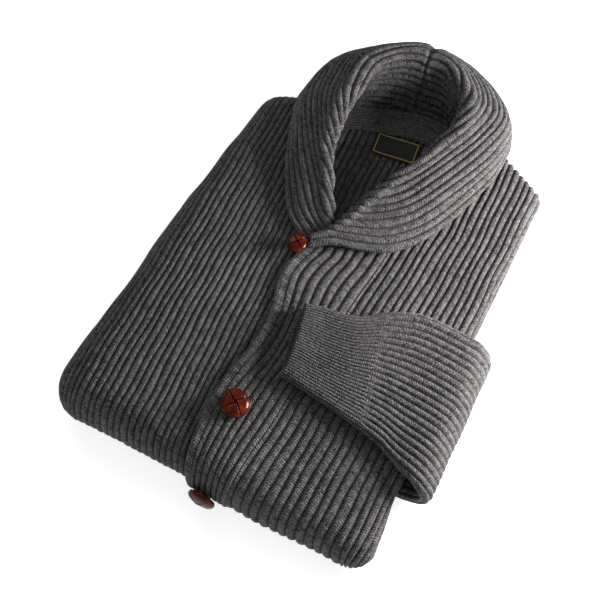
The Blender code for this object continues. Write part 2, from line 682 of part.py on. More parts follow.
# ------------------------------------------------------------------------------
# Shawl collar
# ------------------------------------------------------------------------------
def spline(points, places):
    """Catmull-Rom curve through points (n, ...), read at places from 0 to n-1."""
    points = np.asarray(points, float)
    last = len(points) - 1
    ends = (2 * points[0] - points[1], 2 * points[-1] - points[-2])
    padded = np.concatenate([ends[0][None], points, ends[1][None]])
    i = np.clip(np.floor(places).astype(int), 0, last - 1)
    t = (places - i).reshape((-1,) + (1,) * (points.ndim - 1))
    p0, p1, p2, p3 = padded[i], padded[i + 1], padded[i + 2], padded[i + 3]
    return 0.5 * (2 * p1 + (p2 - p0) * t + (2 * p0 - 5 * p1 + 4 * p2 - p3) * t ** 2
                  + (3 * p1 - p0 - 3 * p2 + p3) * t ** 3)


def collar_section(edge, top, seam, roll, full, samples=60):
    """Curve from the outer edge over the roll to the seam, as even points."""
    edge, top, seam = map(np.array, (edge, top, seam))
    away = (edge - top) * (1, 1, 0)
    away = away / np.linalg.norm(away)
    fall_top = top + roll * (ROLL_OUT * away) - (0, 0, ROLL_DOWN * roll)
    inner_top = top - roll * (ROLL_OUT * away) - (0, 0, ROLL_DOWN * roll)
    slope = (edge - fall_top) / np.linalg.norm(edge - fall_top)
    outward = np.array([0, 0, 1]) - slope[2] * slope
    outward = outward / np.linalg.norm(outward)
    belly = (edge + fall_top) / 2 + full * outward
    stand = (inner_top + seam) / 2
    knots = np.array([edge, belly, fall_top, top, inner_top, stand, seam])
    fine = spline(knots, np.linspace(0, len(knots) - 1, 12 * samples))
    steps = np.linalg.norm(np.diff(fine, axis=0), axis=1)
    length = np.concatenate([[0], np.cumsum(steps)])
    even = np.linspace(0, length[-1], samples)
    return np.stack([np.interp(even, length, fine[:, k]) for k in range(3)], axis=1)


def unit_normals(grid):
    """Unit normal of a grid of points (columns, rows, 3)."""
    across = np.gradient(grid, axis=0)
    lengthwise = np.gradient(grid, axis=1)
    normal = np.cross(across, lengthwise)
    return normal / np.linalg.norm(normal, axis=-1, keepdims=True)


def collar_half(name, table, side):
    """Half of the shawl collar, from its front end to the centre back seam."""
    numbers = np.array([(*edge, *top, *seam, roll, full, wall)
                        for edge, top, seam, roll, full, wall in table], float)
    stations = spline(numbers, np.linspace(0, len(table) - 1, COLLAR_ROWS))
    columns = 2 * COLLAR_RIBS + 1
    middle = np.array([collar_section(s[:3], s[3:6], s[6:9], s[9], s[10])
                       for s in stations])
    pick = np.linspace(0, middle.shape[1] - 1, columns)
    floor = np.floor(pick).astype(int).clip(0, middle.shape[1] - 2)
    part = (pick - floor)[None, :, None]
    middle = middle[:, floor] * (1 - part) + middle[:, floor + 1] * part
    middle = middle.transpose(1, 0, 2)
    normal = unit_normals(middle) * side
    wall = stations[:, 11][None, :, None]
    groove = np.where(np.arange(columns) % 2 == 0, 0, COLLAR_GROOVE)[:, None, None]
    outer = middle + normal * (wall / 2 - groove)
    inner = (middle - normal * wall / 2)[::2]
    for grid in (outer, inner):
        grid[:, -1, 0] = CENTRE_BACK - side * SEAM_GAP / 2
    return ribbed_wall(name, outer, inner, KNIT)


# ------------------------------------------------------------------------------
# Neck tape, label, sleeve, buttons
# ------------------------------------------------------------------------------
def slab(name, top, thick, look):
    """Thin slab under a grid of points (columns, rows, 3), thick downwards."""
    columns, rows = top.shape[:2]
    under = top - (0, 0, thick)
    points = np.concatenate([top.reshape(-1, 3), under.reshape(-1, 3)])
    below = columns * rows
    faces = []
    for c in range(columns - 1):
        for r in range(rows - 1):
            a, b = c * rows + r, (c + 1) * rows + r
            faces.append((a, b, b + 1, a + 1))
            faces.append((below + a, below + a + 1, below + b + 1, below + b))
    rim = ([c * rows for c in range(columns)]
           + [(columns - 1) * rows + r for r in range(1, rows)]
           + [c * rows + rows - 1 for c in range(columns - 2, -1, -1)]
           + [r for r in range(rows - 2, 0, -1)])
    for a, b in zip(rim, rim[1:] + rim[:1]):
        faces.append((a, below + a, below + b, b))
    return new_object(name, points, faces, look)


def neck_tape():
    """Plain tape over the back neck seam, on the back panel."""
    x = np.linspace(TAPE_FROM, TAPE_TO, 9)
    top = polyline_y(BACK_NECK, x) - TAPE_TOP
    y = np.stack([top - TAPE_DEPTH, top], axis=1)
    z = np.full_like(y, FLOOR + WALL + SEAM_GAP + TAPE_WALL)
    grid = np.stack([np.repeat(x[:, None], 2, axis=1), y, z], axis=-1)
    return slab("neck_tape", grid, TAPE_WALL, TAPE)


def label():
    """Woven label below the tape."""
    length, depth, thick = LABEL_SIZE
    turn = math.radians(LABEL_TURN)
    u, v = np.meshgrid((-length / 2, 0, length / 2), (-depth / 2, depth / 2),
                       indexing="ij")
    x = LABEL_AT[0] + u * math.cos(turn) - v * math.sin(turn)
    y = LABEL_AT[1] + u * math.sin(turn) + v * math.cos(turn)
    z = np.full_like(x, FLOOR + WALL + SEAM_GAP + thick)
    return slab("label", np.stack([x, y, z], axis=-1), thick, LABEL)


def stadium(share, half_width, half_thick):
    """Point of a flattened tube's section: u across, v up, and its normal."""
    straight = 2 * (half_width - half_thick)
    bend = math.pi * half_thick
    total = 2 * (straight + bend)
    at = (share % 1) * total
    u = np.zeros_like(at)
    v = np.zeros_like(at)
    nu = np.zeros_like(at)
    nv = np.zeros_like(at)
    top = at < straight
    u[top], v[top], nv[top] = -straight / 2 + at[top], half_thick, 1
    near = (at >= straight) & (at < straight + bend)
    angle = (at[near] - straight) / half_thick
    u[near], v[near] = straight / 2 + half_thick * np.sin(angle), half_thick * np.cos(angle)
    nu[near], nv[near] = np.sin(angle), np.cos(angle)
    low = (at >= straight + bend) & (at < 2 * straight + bend)
    u[low], v[low], nv[low] = straight / 2 - (at[low] - straight - bend), -half_thick, -1
    far = at >= 2 * straight + bend
    angle = (at[far] - 2 * straight - bend) / half_thick
    u[far], v[far] = -straight / 2 - half_thick * np.sin(angle), -half_thick * np.cos(angle)
    nu[far], nv[far] = -np.sin(angle), -np.cos(angle)
    return u, v, nu, nv


def flat_tube(name, sections, ribs, half, wall, groove):
    """Flattened ribbed tube through sections of (far, near, up) vectors."""
    share = np.arange(2 * ribs) / (2 * ribs) + 1 / (8 * ribs)
    outer, inner = [], []
    for far, near, up in sections:
        far, near, up = map(np.asarray, (far, near, up))
        middle = (far + near) / 2
        across = (near - far) / np.linalg.norm(near - far)
        half_width = np.linalg.norm(near - far) / 2
        u, v, nu, nv = stadium(share, half_width, half)
        depth = np.where(np.arange(2 * ribs) % 2 == 0, 0, groove)
        for store, off in ((outer, depth), (inner, wall)):
            store.append(middle + np.outer(u - nu * off, across)
                         + np.outer(v - nv * off, up))
    outer = np.array(outer).transpose(1, 0, 2)
    inner = np.array(inner).transpose(1, 0, 2)[::2]
    return ribbed_wall(name, outer, inner, KNIT, closed=True)


def resting_section(far, near, rise, turn, half):
    """Section that lies on the left front between two plan points."""
    ends = np.array([far, near], float)
    across = np.linspace(0, 1, 9)
    x = ends[0, 0] + across * (ends[1, 0] - ends[0, 0])
    y = ends[0, 1] + across * (ends[1, 1] - ends[0, 1])
    top = cloth_height(x, y) + LIFT + BAND_WALL
    z = top[0] + across * (top[-1] - top[0])
    lift = np.max(top - z) + half + rise + SLEEVE_CLEAR
    angle = math.radians(turn)
    up = (math.sin(angle), 0, math.cos(angle))
    return (*far, top[0] + lift), (*near, top[-1] + lift), up


def left_sleeve():
    """Sleeve from under the body, round its right side and over the fronts."""
    sections = [resting_section(*row, SLEEVE_HALF) for row in SLEEVE_ROWS]
    axis_x, axis_z, radius = SLEEVE_BEND
    for turn, (far_y, near_y) in zip(SLEEVE_TURNS, SLEEVE_ENDS_Y):
        angle = math.radians(turn)
        x = axis_x + radius * math.sin(angle)
        z = axis_z + radius * math.cos(angle)
        up = (math.sin(angle), 0, math.cos(angle))
        sections.append(((x, far_y, z), (x, near_y, z), up))
    (x, far_y, z), (_, near_y, _), up = sections[-1]
    x = x - SLEEVE_TUCK
    sections.append(((x, far_y, z), (x, near_y, z), up))
    return flat_tube("left_sleeve", sections, SLEEVE_RIBS, SLEEVE_HALF, SLEEVE_WALL,
                     SLEEVE_GROOVE)


def left_cuff():
    """Cuff of finer rib, on the end of the sleeve."""
    sections = [resting_section(*row, CUFF_HALF) for row in CUFF_ROWS]
    return flat_tube("left_cuff", sections, CUFF_RIBS, CUFF_HALF, CUFF_WALL,
                     CUFF_GROOVE)


def button(name, diameter, dome_height, shank, seat, x, y):
    """Woven leather button: a domed knot of four strands on a shank."""
    radius = diameter / 2
    angles = np.arange(16) * math.tau / 16
    crossing = np.abs(np.cos(2 * angles)) ** 8
    rings = []
    for share in BUTTON_RINGS:
        crown = math.sqrt(max(0, 1 - share ** 2))
        dome = shank + dome_height * (BUTTON_RIM + (1 - BUTTON_RIM) * crown)
        sink = BUTTON_GROOVE * crossing * (0.4 + 0.6 * (share < 1))
        rings.append((radius * share - 0.5 * sink * (share == 1), dome - sink))
    rings.append((radius * BUTTON_UNDER, shank + 0 * angles))
    rings.append((SHANK_RADIUS, shank + 0 * angles))
    rings.append((SHANK_RADIUS, 0 * angles))
    base = drape(x, y, seat + SEAM_GAP, LEFT_OWN)
    step = 0.5
    along_x = drape(x + step, y, LIFT, LEFT_OWN) - drape(x - step, y, LIFT, LEFT_OWN)
    along_y = drape(x, y + step, LIFT, LEFT_OWN) - drape(x, y - step, LIFT, LEFT_OWN)
    east = along_x / np.linalg.norm(along_x)
    up = np.cross(along_x, along_y)
    up = up / np.linalg.norm(up)
    north = np.cross(up, east)
    points = [base + up * (rings[0][1].mean() - BUTTON_DIMPLE)]
    for reach, rise in rings:
        reach = reach + 0 * angles
        points += list(base + np.outer(reach * np.cos(angles), east)
                       + np.outer(reach * np.sin(angles), north) + np.outer(rise, up))
    points.append(base)
    count = len(angles)
    faces = []
    for k in range(count):
        nxt = (k + 1) % count
        faces.append((0, 1 + k, 1 + nxt))
        for ring in range(len(rings) - 1):
            a = 1 + ring * count
            faces.append((a + k, a + count + k, a + count + nxt, a + nxt))
        a = 1 + (len(rings) - 1) * count
        faces.append((a + k, len(points) - 1, a + nxt))
    return new_object(name, points, faces, LEATHER)


def main():
    """Build every piece of the folded cardigan."""
    for obj in list(bpy.data.objects):
        bpy.data.objects.remove(obj, do_unlink=True)
    hidden_layers()
    back()
    right_front()
    left_front()
    left_button_band()
    collar_half("right_collar", COLLAR_RIGHT_FRONT, 1)
    collar_half("left_collar", COLLAR_LEFT_FRONT, -1)
    neck_tape()
    label()
    left_sleeve()
    left_cuff()
    for number, row in enumerate(BUTTONS, 1):
        button(f"button_{number}", *row)


if __name__ == "__main__":
    main()
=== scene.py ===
"""Shawl collar cardigan, folded: ribbed knit, leather buttons, label and studio.

Laid out as a Blender add-on and run as a script.  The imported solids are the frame:
each piece of cloth is a closed shell of rounded ribs on the form of its solid.

Sizes are in millimetres in the garment's own frame until they enter a mesh:
+X to the right of someone facing it, +Y towards the collar, +Z up, Z = 0 the table.
"""
import math

import bmesh
import bpy
import numpy as np
from bpy.props import FloatProperty, FloatVectorProperty, PointerProperty
from bpy.types import Operator, Panel, PropertyGroup
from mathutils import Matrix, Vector


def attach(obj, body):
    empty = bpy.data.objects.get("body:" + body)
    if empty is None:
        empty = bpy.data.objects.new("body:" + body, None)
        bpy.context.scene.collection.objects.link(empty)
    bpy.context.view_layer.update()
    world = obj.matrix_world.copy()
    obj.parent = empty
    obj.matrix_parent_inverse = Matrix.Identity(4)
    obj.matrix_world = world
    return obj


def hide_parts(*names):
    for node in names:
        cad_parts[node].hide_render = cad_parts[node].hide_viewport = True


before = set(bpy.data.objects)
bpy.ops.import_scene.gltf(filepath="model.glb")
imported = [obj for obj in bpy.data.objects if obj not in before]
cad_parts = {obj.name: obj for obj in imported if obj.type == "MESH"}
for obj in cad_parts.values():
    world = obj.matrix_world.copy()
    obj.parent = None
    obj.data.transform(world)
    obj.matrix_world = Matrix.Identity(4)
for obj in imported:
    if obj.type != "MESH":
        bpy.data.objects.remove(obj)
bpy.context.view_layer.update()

bl_info = {
    "name": "Folded shawl collar cardigan",
    "version": (1, 0, 0),
    "blender": (4, 5, 0),
    "location": "View3D > Sidebar > Cardigan",
    "description": "Builds the cardigan's knit, buttons, label and studio",
    "category": "Object",
}

MM = 0.001
BODY = "root"

# --- knit ---
RIB_PITCH = 6.9
WALL = 4.6
GROOVE_WALL = 1.3
SEAM_GAP = 0.3
RIB_SAMPLES = 10            # columns of the mesh for each rib
RIB_SLACK = 0.5             # how far a ridge may sink along its length
STITCH = 2.5                # length of one stitch along a rib

# --- folded body: x, y, low, crease of the line where the cloth turns down -----
BEND_LINE = (
    (-137, -157, 0, 0), (138, -190, 0, 0), (145, -132, 24, 0), (154, 150, 24, 0),
    (155, 194, 24, 0), (100, 228, 24, 0), (60, 240, 22, 0), (0, 231, 20, 0),
    (-60, 210, 20, 0), (-103.3, 184, 0, 0), (-109.2, 125, 0, 7), (-132.5, -110, 0, 7),
)
LEFT_FOLD, RIGHT_FOLD = (BEND_LINE[0], BEND_LINE[9]), (BEND_LINE[2], BEND_LINE[4])
CREASE_HALF_WIDTH = 4.5
CREASE_AT = 0.46
LAST_ANGLE = math.radians(168)
HEIGHT_X = (5, 145)
HEIGHT_Y = (10, 180)
HEIGHT = ((62, 48, 30), (57, 52, 37), (45, 43, 37))
LEAN_LEFT, LEAN_RIGHT = 0.3, 1.0
LEAN_START, LEAN_WIDTH = 40, 110
HEM_PLANE = ((0, 0, 4.0), (0, 0, -1))       # point and normal; cut off below it
LIFT = WALL + SEAM_GAP
RIGHT_OWN, LEFT_OWN = 3.0, 8.0
RIGHT_FRONT_EDGE = 20
RIGHT_FRONT_WIDTH, RIGHT_FRONT_RIBS = 249.6, 39
LEFT_FRONT_RIBS = ((0, 20), (13, 145.6), (18, 183.8))    # rib number, x at y = 0
NECK_ROWS = 9
SHOULDER_TURN = math.radians(108)
CORNER_TURN = 0.3
SHOULDER_START = 26

# --- folded layers underneath ---
LAYER_MIDDLE = (21, 10)
LAYER_GAP = 1.0
LAYER_CREASE = 0.45
LAYER_CREASE_TURN, LAYER_CREASE_SPREAD = 1.7, 0.7
LAYER_LAST_TURN = math.radians(140)
LAYER_TUCK = 10
LAYERED_FROM, LAYERED_OVER = 12, 8
LAYER_PROUD, LAYER_ROUND, STACK_CLEAR = 2.5, 5, 2.4
LAYER_EDGE = ((0, 1.05), (0.75, 0.95), (1, 0.78), (0.75, 0.56), (0.3, 0.5),
              (0.75, 0.44), (1, 0.25), (0.75, 0.06), (0.5, 0))
SLOT_Y = (-150, -142, 32, 40)
SLOT_DEPTH = 24

# --- neck ---
NECKLINE_LEFT = ((-6, 60), (-20, 84), (-36, 110), (-52, 142), (-62, 172), (-66, 203))
NECKLINE_RIGHT = ((59.5, 75), (63, 95), (69, 125), (76, 155), (83, 190), (88, 228))
BACK_NECK = ((-66, 203), (-52, 214), (-33, 224.5), (-8, 233), (20, 239), (46, 239.5),
             (60, 237.5), (88, 228))
FLOOR = 38

# --- button band ---
BAND_WALL, BAND_GROOVE, BAND_RIBS = 5.6, 2.4, 8
BAND_TOP = (46, 75)
BAND_EASE = 0.5
BAND_FOOT_WIDTH = 44
BAND_EDGE = (
    (46, -15), (32, -21), (15, -24.5), (-5, -22.5), (-25, -18), (-45, -16), (-65, -18),
    (-90, -23.5), (-115, -28), (-140, -30), (-165, -28), (-190, -26), (-215, -24),
    (-260, -22),
)
SEAM_TOP = (59.5, 75)
SEAM_FOOT = (20.5, -215)

# --- shawl collar: edge, top, seam, roll, full, wall from the front to the back -----
COLLAR_RIGHT_FRONT = (
    ((-21, 49, 60.5), (2, 63, 62), (2, 60, 60), 3, 0, 4.6),
    ((-46, 72, 61), (-8, 82, 72), (-12, 78, 61), 6.5, 2, 6.2),
    ((-64, 103, 61), (-24, 112, 80), (-33, 110, 61), 7, 3, 6.6),
    ((-77, 140, 60), (-38, 143, 87), (-50, 144, 59), 8.5, 5, 6.6),
    ((-87, 178, 57), (-43, 180, 95), (-60, 178, 55), 11, 8, 6.6),
    ((-90, 208, 53), (-41, 210, 100), (-63, 205, 51), 12.5, 9, 6.6),
    ((-78, 239, 45), (-38, 239, 102), (-51, 219, 45), 12, 10, 6.6),
    ((-46, 268, 36), (-19, 260, 102), (-24, 231, 42), 11, 12, 6.6),
    ((-8, 284, 29), (3, 270, 102), (2, 238, 41), 11, 13, 6.6),
    ((18, 290, 26), (18, 272, 101.5), (18, 241, 41), 11, 13, 6.6),
)
COLLAR_LEFT_FRONT = (
    ((-11, 40, 69), (-12.5, 50, 70), (-9, 54, 69), 2, 0, 4.6),
    ((10, 52, 69), (1, 61, 73), (6, 64, 69), 3.5, 1, 5.2),
    ((36, 60, 66), (13, 79, 76), (23, 78, 67), 5.5, 2, 6.0),
    ((62, 70, 65), (24, 105.5, 79), (44, 98, 65), 7, 3, 6.6),
    ((84, 92, 63), (38, 132, 82), (60, 122, 63), 7, 4, 6.6),
    ((102, 128, 61), (54, 157, 86), (70, 148, 60), 8, 5, 6.6),
    ((116, 170, 59), (68, 184, 91), (78, 178, 57), 10, 7, 6.6),
    ((123, 210, 55), (79, 211, 96), (85, 206, 52), 12, 10, 6.6),
    ((117, 246, 45), (73, 243, 100), (76, 235, 45), 11.5, 13, 6.6),
    ((92, 276, 35), (52, 262, 102), (54, 241, 41), 11, 13, 6.6),
    ((54, 290, 28), (35, 270, 102), (36, 242, 41), 11, 13, 6.6),
    ((18, 290, 26), (18, 272, 101.5), (18, 241, 41), 11, 13, 6.6),
)
# width of a rib by its distance from the centre back
COLLAR_RIGHT_PITCH = ((0, 6.6), (80, 5.9), (160, 5.7), (225, 7.2), (275, 8.2))
COLLAR_LEFT_PITCH = ((0, 6.6), (110, 6.7), (190, 7.0), (245, 8.4), (310, 8.4))
STAND_WIDER = 1.3           # ribs of the stand, inside the roll, against the fall's
COLLAR_GROOVE, STAND_GROOVE = 3.0, 1.8
COLLAR_COLUMNS, COLLAR_STATIONS = 270, 160
SEAM_NOTCH, SEAM_NOTCH_WIDTH = 3.2, 7   # dip of the ribs at the centre back seam
SEAM_NOTCH_INSIDE = 1.0
CENTRE_BACK = 18
ROLL_OUT, ROLL_DOWN = 0.9, 0.55

# --- tape and label ---
TAPE_WALL, TAPE_DEPTH, TAPE_TOP, TAPE_RIB = 1.6, 30, 2.5, 3.4
TAPE_FROM, TAPE_TO = -48, 76
LABEL_SIZE = (46, 25, 1.0)
LABEL_AT = (18, 191)
LABEL_TURN = math.radians(3)
LABEL_LINE = (2.2, 0.38)        # border: distance from the edge, half width
LABEL_THREADS = (2.4, 3.2)      # to a millimetre along and across
LABEL_SHADE = (0.9, 0.8)        # what the weave and the thread's noise add
LABEL_ROUGH = (0.2, 0.42)       # on the thread's noise: factor and start
LABEL_BUMP, LABEL_RAISED = (0.7, 0.00025), 0.8  # strength, m; border above the weave

# --- sleeve and cuff ---
CUFF_ROWS = (
    # far,            near,            half, turn
    ((10.6, -14.6), (20.8, -89.4), 5.6, 0),
    ((29.3, -10.9), (34.8, -91.6), 5.6, 0),
    ((48.1, -8.3), (55.3, -94.8), 5.6, 0),
    ((66.1, -1.6), (79.0, -98.9), 5.7, 0),
    ((81.7, 11.3), (103.8, -103.8), 5.9, 0),
)
SLEEVE_ROWS = (
    ((81.9, 11.3), (104.0, -103.8), 5.9, 0),
    ((98.1, 18.8), (126.5, -109.9), 6.1, 0),
    ((121.8, 25.2), (146.0, -120.0), 6.3, 4),
)
SLEEVE_BEND = (161, 30.4, 23)
SLEEVE_TURNS = (15, 45, 75, 105, 135, 165, 180)
SLEEVE_ENDS_Y = ((25, -129), (24, -133), (22, -134), (18, -134), (14, -133),
                 (12, -132), (12, -132))
SLEEVE_TUCK = 14
SLEEVE_CLEAR = 0.7
SLEEVE_HALF, SLEEVE_WALL, SLEEVE_GROOVE, SLEEVE_RIBS = 6.3, 4.6, 2.4, 44
CUFF_WALL, CUFF_GROOVE, CUFF_RIBS = 3.9, 1.1, 66
CUFF_CROWN = 0.55           # power that widens the tighter ribs of the cuff
CUFF_STITCH = 1.7
JOIN_LENGTH = 9             # over which the cuff's ribs turn into the sleeve's
MOUTH_BACK, MOUTH_OUT, MOUTH_CROWN = 3.5, 3, 3.5  # upper back, under out, upper up
MOUTH_LIP, MOUTH_LIP_LENGTH = 1.8, 5    # the under layer's rim turns up
MOUTH_LENGTH = 32

# --- buttons: diameter, dome, shank, seat level, x, y ---
BUTTONS = (
    (20, 6.1, 8.3, WALL, -22.5, 42),
    (28, 8.6, 2.4, LIFT + BAND_WALL, -6, -131),
    (28, 7.6, 2.4, LIFT + BAND_WALL, -3, -225),
)
SHANK_RADIUS = 4

# --- leather: ranges from and to, on the painted shade and highlight, the blotches and the grain ---
CROWN_RANGE, CROWN_BLOTCH = (0.1, 0.95), 0.7
WORN_BLOTCH, WORN_GRAIN = (0.48, 0.68), (0.2, 0.7)
WORN_SHARE, WORN_COLOUR = 0.75, (0.20, 0.036, 0.004, 1)
LEATHER_ROUGH = (0.18, 0.16)    # on the grain: factor and start
LEATHER_BUMP = (0.35, 0.0002)   # strength, height of the grain in metres


# --- Settings that a user would change ---
def colour_prop(name, text, value):
    """A colour of a finish, in linear light."""
    return FloatVectorProperty(name=name, description=text, default=value, size=3,
                               subtype="COLOR", min=0, max=1)


class KnitSettings(PropertyGroup):
    """Yarn colours and relief of the ribbed knit."""

    light: colour_prop("Light yarn", "Colour of the pale fibres in the marl",
                       (0.185, 0.180, 0.180))
    dark: colour_prop("Dark yarn", "Colour of the dark fibres in the marl",
                      (0.007, 0.007, 0.0075))
    # painted shade: the share of the knit's colour left between two ribs
    groove: FloatProperty(name="Groove shade", default=0.45, min=0, max=1,
                          subtype="FACTOR",
                          description="Share of the colour left between two ribs")
    relief: FloatProperty(name="Stitch relief", default=0.0009, min=0, max=0.003,
                          unit="LENGTH", description="Height of a stitch on its rib")


class ButtonSettings(PropertyGroup):
    """Finish of the leather buttons."""

    leather: colour_prop("Leather", "Colour of the crown of a strand",
                         (0.092, 0.005, 0.0010))
    # darker blotches of the leather, and the painted shade in the creases and the hole
    dark_leather_and_crease_shade: colour_prop("Dark_leather_and_crease_shade", "Colour along the creases", (0.016, 0.003, 0.0015))
    groove: FloatProperty(name="Groove", default=0.0012, min=0, max=0.002,
                          unit="LENGTH", description="Depth between two strands")


class TrimSettings(PropertyGroup):
    """Colours of the neck tape and the woven label."""

    tape: FloatProperty(name="Tape", default=1.1, min=0,
                        description="Brightness of the tape's yarn, of the body's")
    ground: colour_prop("Label ground", "Colour of the label's weave",
                        (0.008, 0.010, 0.008))
    border: colour_prop("Label border", "Colour of the label's border thread",
                        (0.80, 0.50, 0.09))


class StageSettings(PropertyGroup):
    """Floor and lights of the studio."""

    floor: colour_prop("Floor", "Colour of the floor", (0.86, 0.86, 0.86))
    glow: FloatProperty(name="Floor glow", default=0.75, min=0,
                        description="Light of the floor itself, a translucent table")
    key: FloatProperty(name="Key light", default=8.5, min=0, unit="POWER",
                       description="Power of the soft box on the right")
    fill: FloatProperty(name="Room light", default=0.32, min=0,
                        description="Brightness of the room all round")


# --- Curves, ribs and the folded surface ---
RIB_POWER = 0.8                                 # roundness of a rib
DRIFTS = ((0.40, 31, 1.7), (0.28, 12.5, 4.1))   # of a rib sideways: mm, length, step
DRIFT_FREE = 1.5                                # ribs over which it grows from an edge
SLACKS = ((10.5, 2.3), (27, 0.9))               # of a ridge's height: length, step
EDGE_SHARE = 0.08                               # thickness left at a wall's cut edge


def smooth(t):
    """Ease from 0 to 1 as t goes from 0 to 1: t squared times (3 - 2t)."""
    t = np.clip(t, 0, 1)
    return t * t * (3 - 2 * t)


def xyz(*parts):
    """Points, or (u, v), of numbers and grids that broadcast together."""
    return np.stack(np.broadcast_arrays(*parts), axis=-1)


def unit(vectors):
    """Vectors brought to length 1."""
    return vectors / np.linalg.norm(vectors, axis=-1, keepdims=True)


def walked(points):
    """Length along a line of points, 0 at the first."""
    return np.concatenate([[0], np.cumsum(np.linalg.norm(
        np.diff(points, axis=0), axis=-1))])


def parabola(low, middle, high, t):
    """Parabola through low, middle and high at t = -1, 0 and 1."""
    return low * t * (t - 1) / 2 + middle * (1 - t * t) + high * t * (t + 1) / 2


def cloth_height(x, y):
    """Height of the flat cloth: a parabola across, of parabolas along."""
    across = (x - HEIGHT_X[0]) / HEIGHT_X[1]
    along_y = (y - HEIGHT_Y[0]) / HEIGHT_Y[1]
    return parabola(*[parabola(*row, across) for row in HEIGHT], along_y)


def fold_at(x, y):
    """Nearest foot on the bend line, outward direction, distance, low and crease."""
    line = np.array(BEND_LINE, float)
    best = np.full(np.shape(x), np.inf)
    inside = np.ones(np.shape(x), bool)
    found = [np.zeros(np.shape(x)) for _ in range(4)]
    for a, b in zip(line, np.roll(line, -1, axis=0)):
        ex, ey = b[:2] - a[:2]
        inside &= (x - a[0]) * ey - (y - a[1]) * ex <= 0
        t = np.clip(((x - a[0]) * ex + (y - a[1]) * ey) / (ex * ex + ey * ey), 0, 1)
        values = [start + t * (end - start) for start, end in zip(a, b)]
        dist = np.hypot(x - values[0], y - values[1])
        nearer = dist < best
        best = np.where(nearer, dist, best)
        found = [np.where(nearer, new, old) for new, old in zip(values, found)]
    safe = np.maximum(np.where(inside, 0.0, best), 1e-9)
    out_x, out_y = [np.where(inside, 0.0, (at - foot) / safe)
                    for at, foot in zip((x, y), found)]
    foot_x, foot_y = [np.where(inside, at, foot) for at, foot in zip((x, y), found)]
    return foot_x, foot_y, out_x, out_y, np.where(inside, 0.0, best), *found[2:]


def fold_radius(x, y, low):
    """Half the height between the flat cloth and where its turn ends."""
    return (cloth_height(x, y) - low) / 2


def around_fold(foot_x, foot_y, out_x, out_y, angle, low, crease, level):
    """Point on a circle round the fold's axis, less a bell-shaped furrow."""
    radius = fold_radius(foot_x, foot_y, low)
    middle = low + radius
    off_crease = middle + radius * np.cos(angle) - low - 2 * radius * CREASE_AT
    lift = level - crease * np.exp(-(off_crease / CREASE_HALF_WIDTH) ** 2)
    reach = (radius + lift) * np.sin(angle)
    return xyz(foot_x + out_x * reach, foot_y + out_y * reach,
               middle + (radius + lift) * np.cos(angle))


def drape(x, y, level, own):
    """Folded place of the flat point (x, y), level above the under surface.

    Past the bend line the distance is spent as an arc, of the radius that keeps
    the length of the cloth's own middle, and then runs straight on.
    """
    x, y, level = np.broadcast_arrays(
        np.asarray(x, float), np.asarray(y, float), np.asarray(level, float))
    foot_x, foot_y, out_x, out_y, dist, low, crease = fold_at(x, y)
    bend = fold_radius(foot_x, foot_y, low) + own
    angle = np.minimum(dist / bend, LAST_ANGLE)
    beyond = np.maximum(dist - angle * bend, 0)
    points = around_fold(foot_x, foot_y, out_x, out_y, angle, low, crease, level)
    straight = beyond * math.cos(LAST_ANGLE)
    return points + xyz(out_x * straight, out_y * straight,
                        -beyond * math.sin(LAST_ANGLE))


def edge_x(y, side):
    """x of the left (-1) or right (1) bend line, straight from corner to corner."""
    foot, head = LEFT_FOLD if side < 0 else RIGHT_FOLD
    return foot[0] + (head[0] - foot[0]) * (y - foot[1]) / (head[1] - foot[1])


def lean(wale, y):
    """x of a wale at y: near a side fold it turns part of the way with the fold."""
    left = (edge_x(y, -1) - edge_x(0.0, -1)) * LEAN_LEFT
    right = (edge_x(y, 1) - edge_x(0.0, 1)) * LEAN_RIGHT
    shift = np.where(wale < 0, left, right)
    return wale + shift * smooth((np.abs(wale) - LEAN_START) / LEAN_WIDTH)


def along(line, value):
    """Cubic through a two-column table, with slopes from its neighbours."""
    keys, vals = np.array(sorted(line), float).T
    slopes = np.gradient(vals, keys)
    value = np.clip(value, keys[0], keys[-1])
    i = np.clip(np.searchsorted(keys, value, side="right") - 1, 0, len(keys) - 2)
    span = keys[i + 1] - keys[i]
    t = (value - keys[i]) / span
    start, end = span * slopes[i], span * slopes[i + 1]
    return ((1 + 2 * t) * (1 - t) ** 2 * vals[i] + t * (1 - t) ** 2 * start
            + t * t * (3 - 2 * t) * vals[i + 1] + t * t * (t - 1) * end)


def spline(points, places):
    """Catmull-Rom curve through points (n, ...), read at places from 0 to n-1."""
    points = np.asarray(points, float)
    padded = np.concatenate([[2 * points[0] - points[1]], points,
                             [2 * points[-1] - points[-2]]])
    i = np.clip(np.floor(places).astype(int), 0, len(points) - 2)
    t = (places - i).reshape((-1,) + (1,) * (points.ndim - 1))
    p0, p1, p2, p3 = [padded[i + k] for k in range(4)]
    return 0.5 * (2 * p1 + (p2 - p0) * t + (2 * p0 - 5 * p1 + 4 * p2 - p3) * t ** 2
                  + (3 * p1 - p0 - 3 * p2 + p3) * t ** 3)


def polyline(line, value, key=0):
    """Straight reading of a table of (x, y) rows by its x (key 0) or y (key 1)."""
    return np.interp(value, *zip(*sorted((row[key], row[1 - key]) for row in line)))


def rib(phase):
    """Rounded rib: 1 on the ridge, at whole phases, and 0 in the groove between.

    One less the square of the distance from the ridge, raised to RIB_POWER.
    """
    away = 2 * np.abs(phase - np.round(phase))
    return (1 - np.minimum(away, 1) ** 2) ** RIB_POWER


def wander(phase, place, count):
    """Sideways drift of a rib in millimetres: two slow waves along it.

    It dies away at the first and the last of count ribs.
    """
    drift = sum(size * np.sin(place / length + step * phase)
                for size, length, step in DRIFTS)
    return drift * smooth(np.minimum(phase, count - phase) / DRIFT_FREE)


